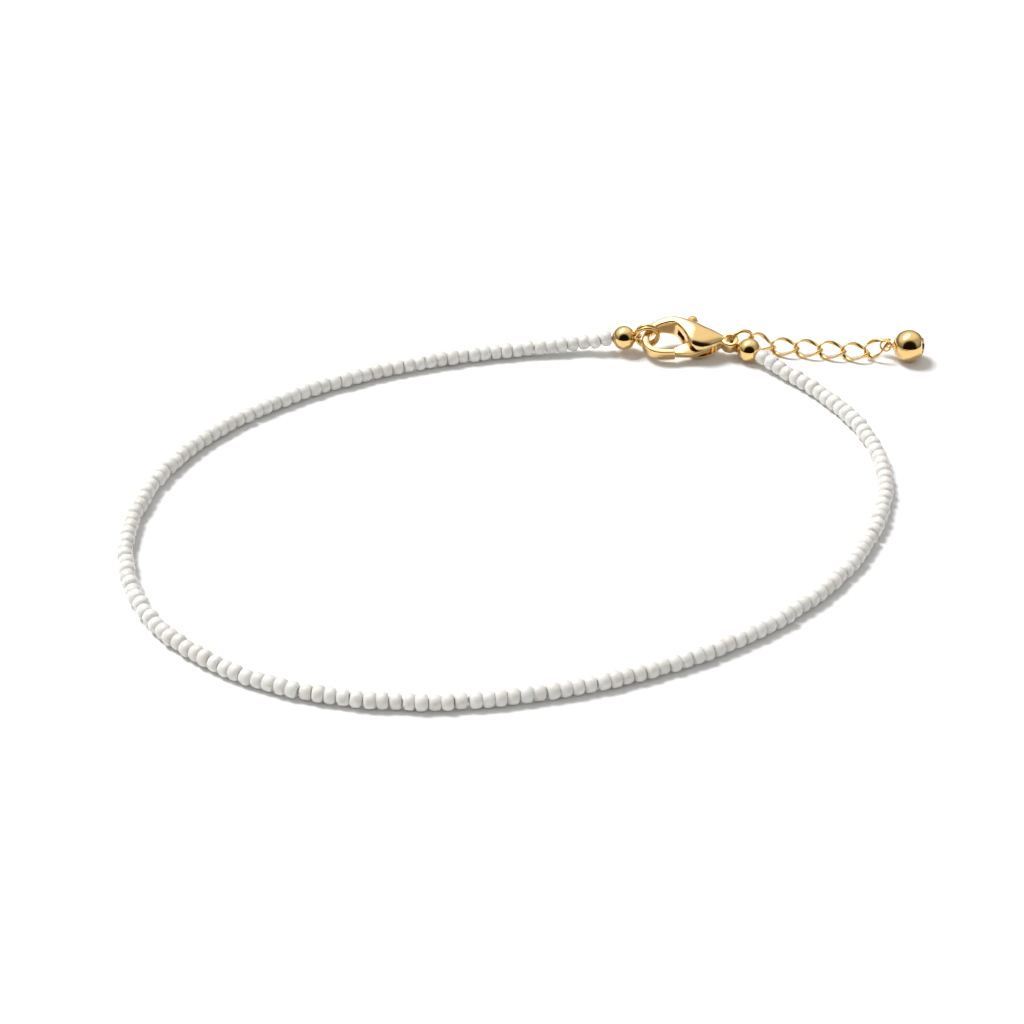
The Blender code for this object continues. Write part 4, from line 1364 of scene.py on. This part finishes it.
def make_head_pin():
    """The headed wire through the ball, with its eye."""
    seat = END_BALL_DIAMETER / 2 - END_BALL_FACE - END_BALL_RECESS
    low = seat + PIN_HEAD_GAP
    high = low + PIN_HEAD_THICKNESS
    radius = PIN_HEAD_DIAMETER / 2
    wire = HEAD_PIN_WIRE / 2
    edge = PIN_HEAD_EDGE
    foot = -pin_eye_reach() + (HEAD_PIN_EYE_DIAMETER - HEAD_PIN_EYE_WIRE) / 2
    outline = [
        (0.0, high), (radius - edge, high), (radius - edge * 0.3, high - edge * 0.3),
        (radius, high - edge), (radius, low + edge), (radius - edge, low),
        (wire, low), (wire, foot), (0.0, foot),
    ]
    pin = turned("pin_shank", outline, KNOB_SIDES)
    eye = wire_ring("pin_eye", HEAD_PIN_EYE_DIAMETER, HEAD_PIN_EYE_WIRE, steps=EYE_STEPS)
    eye.location.z = -pin_eye_reach()
    eye.rotation_euler = (UPRIGHT, 0.0, 0.0)
    place = end_ball_place()
    head_pin = joined("headed_pin", [settle(pin, place), settle(eye, place)])
    dress(head_pin, "anklet", "gold_plate", polished_gold(), "head_pin")


def weld(obj):
    """Joins the points where a turned profile meets itself."""
    shape = bmesh.new()
    shape.from_mesh(obj.data)
    bmesh.ops.remove_doubles(shape, verts=shape.verts, dist=BALL_SEAM)
    bmesh.ops.recalc_face_normals(shape, faces=shape.faces)
    shape.to_mesh(obj.data)
    shape.free()


# Stage


def plane(name, x, y, material):
    """A flat piece of the stage that reaches x and y to each side."""
    mesh = bpy.data.meshes.new(name)
    mesh.from_pydata([(-x, -y, 0), (x, -y, 0), (x, y, 0), (-x, y, 0)], [], [(0, 1, 2, 3)])
    mesh.materials.append(material)
    obj = new_object(name, mesh)
    return obj


def card(name, centre, size, core, strength, colour, foot=False):
    """A card that faces the piece and that only reflections see. It fades out from core, a share of its
    reach from its middle, or from its foot, to its edge."""
    material = bpy.data.materials.new(name)
    material.use_nodes = True
    tree = material.node_tree
    tree.nodes.clear()
    half_x, half_y = size[0] / 2, size[1] / 2
    obj = plane(name, half_x, half_y, material)
    obj.visible_camera = obj.visible_diffuse = obj.visible_shadow = False
    obj.location = centre
    obj.rotation_euler = (-Vector(centre)).to_track_quat("Z", "Y").to_euler()

    rise = half_y if foot else 0.0
    place = add_node(tree, "ShaderNodeTexCoord").outputs["Object"]
    far = place
    for operation, values in (("ADD", (0.0, rise, 0.0)), ("DIVIDE", (half_x, half_y + rise, 1.0))):
        far = add_node(tree, "ShaderNodeVectorMath", {"operation": operation, 0: far, 1: values})
    far = add_node(tree, "ShaderNodeVectorMath", {"operation": "LENGTH", 0: far}).outputs["Value"]
    span = {"From Min": core, "From Max": 1.0, "To Min": 1.0, "To Max": 0.0, "Value": far}
    fade = add_node(tree, "ShaderNodeMapRange", {"interpolation_type": "SMOOTHSTEP", **span})
    clear = add_node(tree, "ShaderNodeBsdfTransparent")
    light = add_node(tree, "ShaderNodeEmission", {"Color": (*colour, 1.0), "Strength": strength})
    mix = add_node(tree, "ShaderNodeMixShader", {0: fade, 1: clear, 2: light})
    add_node(tree, "ShaderNodeOutputMaterial", {"Surface": mix})


def make_world():
    """White studio walls that are dim near the horizon."""
    world = bpy.data.worlds.new("studio")
    bpy.context.scene.world = world
    world.use_nodes = True
    tree = world.node_tree
    background = tree.nodes["Background"]
    background.inputs["Color"].default_value = (1.0, 1.0, 1.0, 1.0)
    toward = add_node(tree, "ShaderNodeTexCoord").outputs["Generated"]
    height = add_node(tree, "ShaderNodeSeparateXYZ", {"Vector": toward}).outputs["Z"]
    light = add_node(tree, "ShaderNodeMapRange", {**WALLS, "Value": height})
    tree.links.new(light.outputs["Result"], background.inputs["Strength"])


def make_lights():
    light = bpy.data.lights.new("window_lamp", "SUN")
    light.angle = SUN_ANGLE
    light.energy = SUN_STRENGTH
    lamp = new_object("window_lamp", light)
    lamp.rotation_euler = SUN_FROM.to_track_quat("Z", "Y").to_euler()
    lamp.visible_glossy = False
    for glow in GLOWS:
        card(*glow)
    # The dark room behind the camera: a hill that stands on the floor
    centre = (0.0, -math.cos(DARK_HEIGHT), math.sin(DARK_HEIGHT))
    card("dark_card", centre, DARK_SIZE, DARK_CORE, 1.0, DARK_COLOUR, foot=True)


def make_stage():
    """The floor, the walls, the lights and the photograph's camera."""
    plane("studio_floor", FLOOR_REACH, FLOOR_REACH, studio_floor())
    make_world()
    make_lights()
    scene = bpy.context.scene
    scene.view_settings.view_transform = "Standard"
    camera = new_object("camera", bpy.data.cameras.new("camera"))
    back = Vector((0.0, -math.cos(CAMERA_HEIGHT), math.sin(CAMERA_HEIGHT)))
    camera.location = CAMERA_AIM + back * CAMERA_DISTANCE
    camera.rotation_euler = (UPRIGHT - CAMERA_HEIGHT, 0.0, 0.0)
    camera.data.lens = CAMERA_LENS
    camera.data.sensor_width = SENSOR_WIDTH
    camera.data.clip_start = 0.01
    scene.camera = camera


class BeadsOperator(bpy.types.Operator):
    """Makes the seed beads and their thread"""

    bl_idname = "anklet.beads"
    bl_label = "Beads and thread"

    def execute(self, context):
        make_beads()
        make_thread()
        return {"FINISHED"}


class BallEndsOperator(bpy.types.Operator):
    """Makes the balls that end the strand"""

    bl_idname = "anklet.ball_ends"
    bl_label = "Ball ends"

    def execute(self, context):
        make_ball_ends()
        return {"FINISHED"}


class RingsOperator(bpy.types.Operator):
    """Makes the two jump rings"""

    bl_idname = "anklet.rings"
    bl_label = "Jump rings"

    def execute(self, context):
        make_rings()
        return {"FINISHED"}


class ClaspOperator(bpy.types.Operator):
    """Makes the clasp's claw and its hinge pin"""

    bl_idname = "anklet.clasp"
    bl_label = "Clasp"

    def execute(self, context):
        make_clasp()
        make_hinge_pin()
        return {"FINISHED"}


class LeverOperator(bpy.types.Operator):
    """Makes the clasp's lever with its knob"""

    bl_idname = "anklet.lever"
    bl_label = "Lever"

    def execute(self, context):
        make_lever()
        return {"FINISHED"}


class ChainOperator(bpy.types.Operator):
    """Makes the extension chain and its end loop"""

    bl_idname = "anklet.chain"
    bl_label = "Extension chain"

    def execute(self, context):
        make_chain()
        return {"FINISHED"}


class EndBallOperator(bpy.types.Operator):
    """Makes the ball at the chain's end and its headed pin"""

    bl_idname = "anklet.end_ball"
    bl_label = "End ball"

    def execute(self, context):
        make_end_ball()
        make_head_pin()
        return {"FINISHED"}


class StageOperator(bpy.types.Operator):
    """Makes the floor, the lights and the camera"""

    bl_idname = "anklet.stage"
    bl_label = "Stage"

    def execute(self, context):
        make_stage()
        return {"FINISHED"}


OPERATORS = (
    BeadsOperator, BallEndsOperator, RingsOperator, ClaspOperator,
    LeverOperator, ChainOperator, EndBallOperator, StageOperator,
)


class AnkletPanel(bpy.types.Panel):
    """Sizes, colours and pieces of the anklet"""

    bl_idname = "ANKLET_PT_panel"
    bl_label = "Beaded anklet"
    bl_space_type = "VIEW_3D"
    bl_region_type = "UI"
    bl_category = "Anklet"

    def draw(self, context):
        for group in (context.scene.anklet_sizes, context.scene.anklet_colours):
            for name in group.__annotations__:
                self.layout.prop(group, name)
        for operator in OPERATORS:
            self.layout.operator(operator.bl_idname)


CLASSES = (AnkletSizes, AnkletColours, *OPERATORS, AnkletPanel)


def register():
    for item in CLASSES:
        bpy.utils.register_class(item)
    bpy.types.Scene.anklet_sizes = PointerProperty(type=AnkletSizes)
    bpy.types.Scene.anklet_colours = PointerProperty(type=AnkletColours)


def unregister():
    del bpy.types.Scene.anklet_sizes
    del bpy.types.Scene.anklet_colours
    for item in reversed(CLASSES):
        bpy.utils.unregister_class(item)


def main():
    register()
    for operator in OPERATORS:
        group, name = operator.bl_idname.split(".")
        getattr(getattr(bpy.ops, group), name)()


if __name__ == "__main__":
    main()
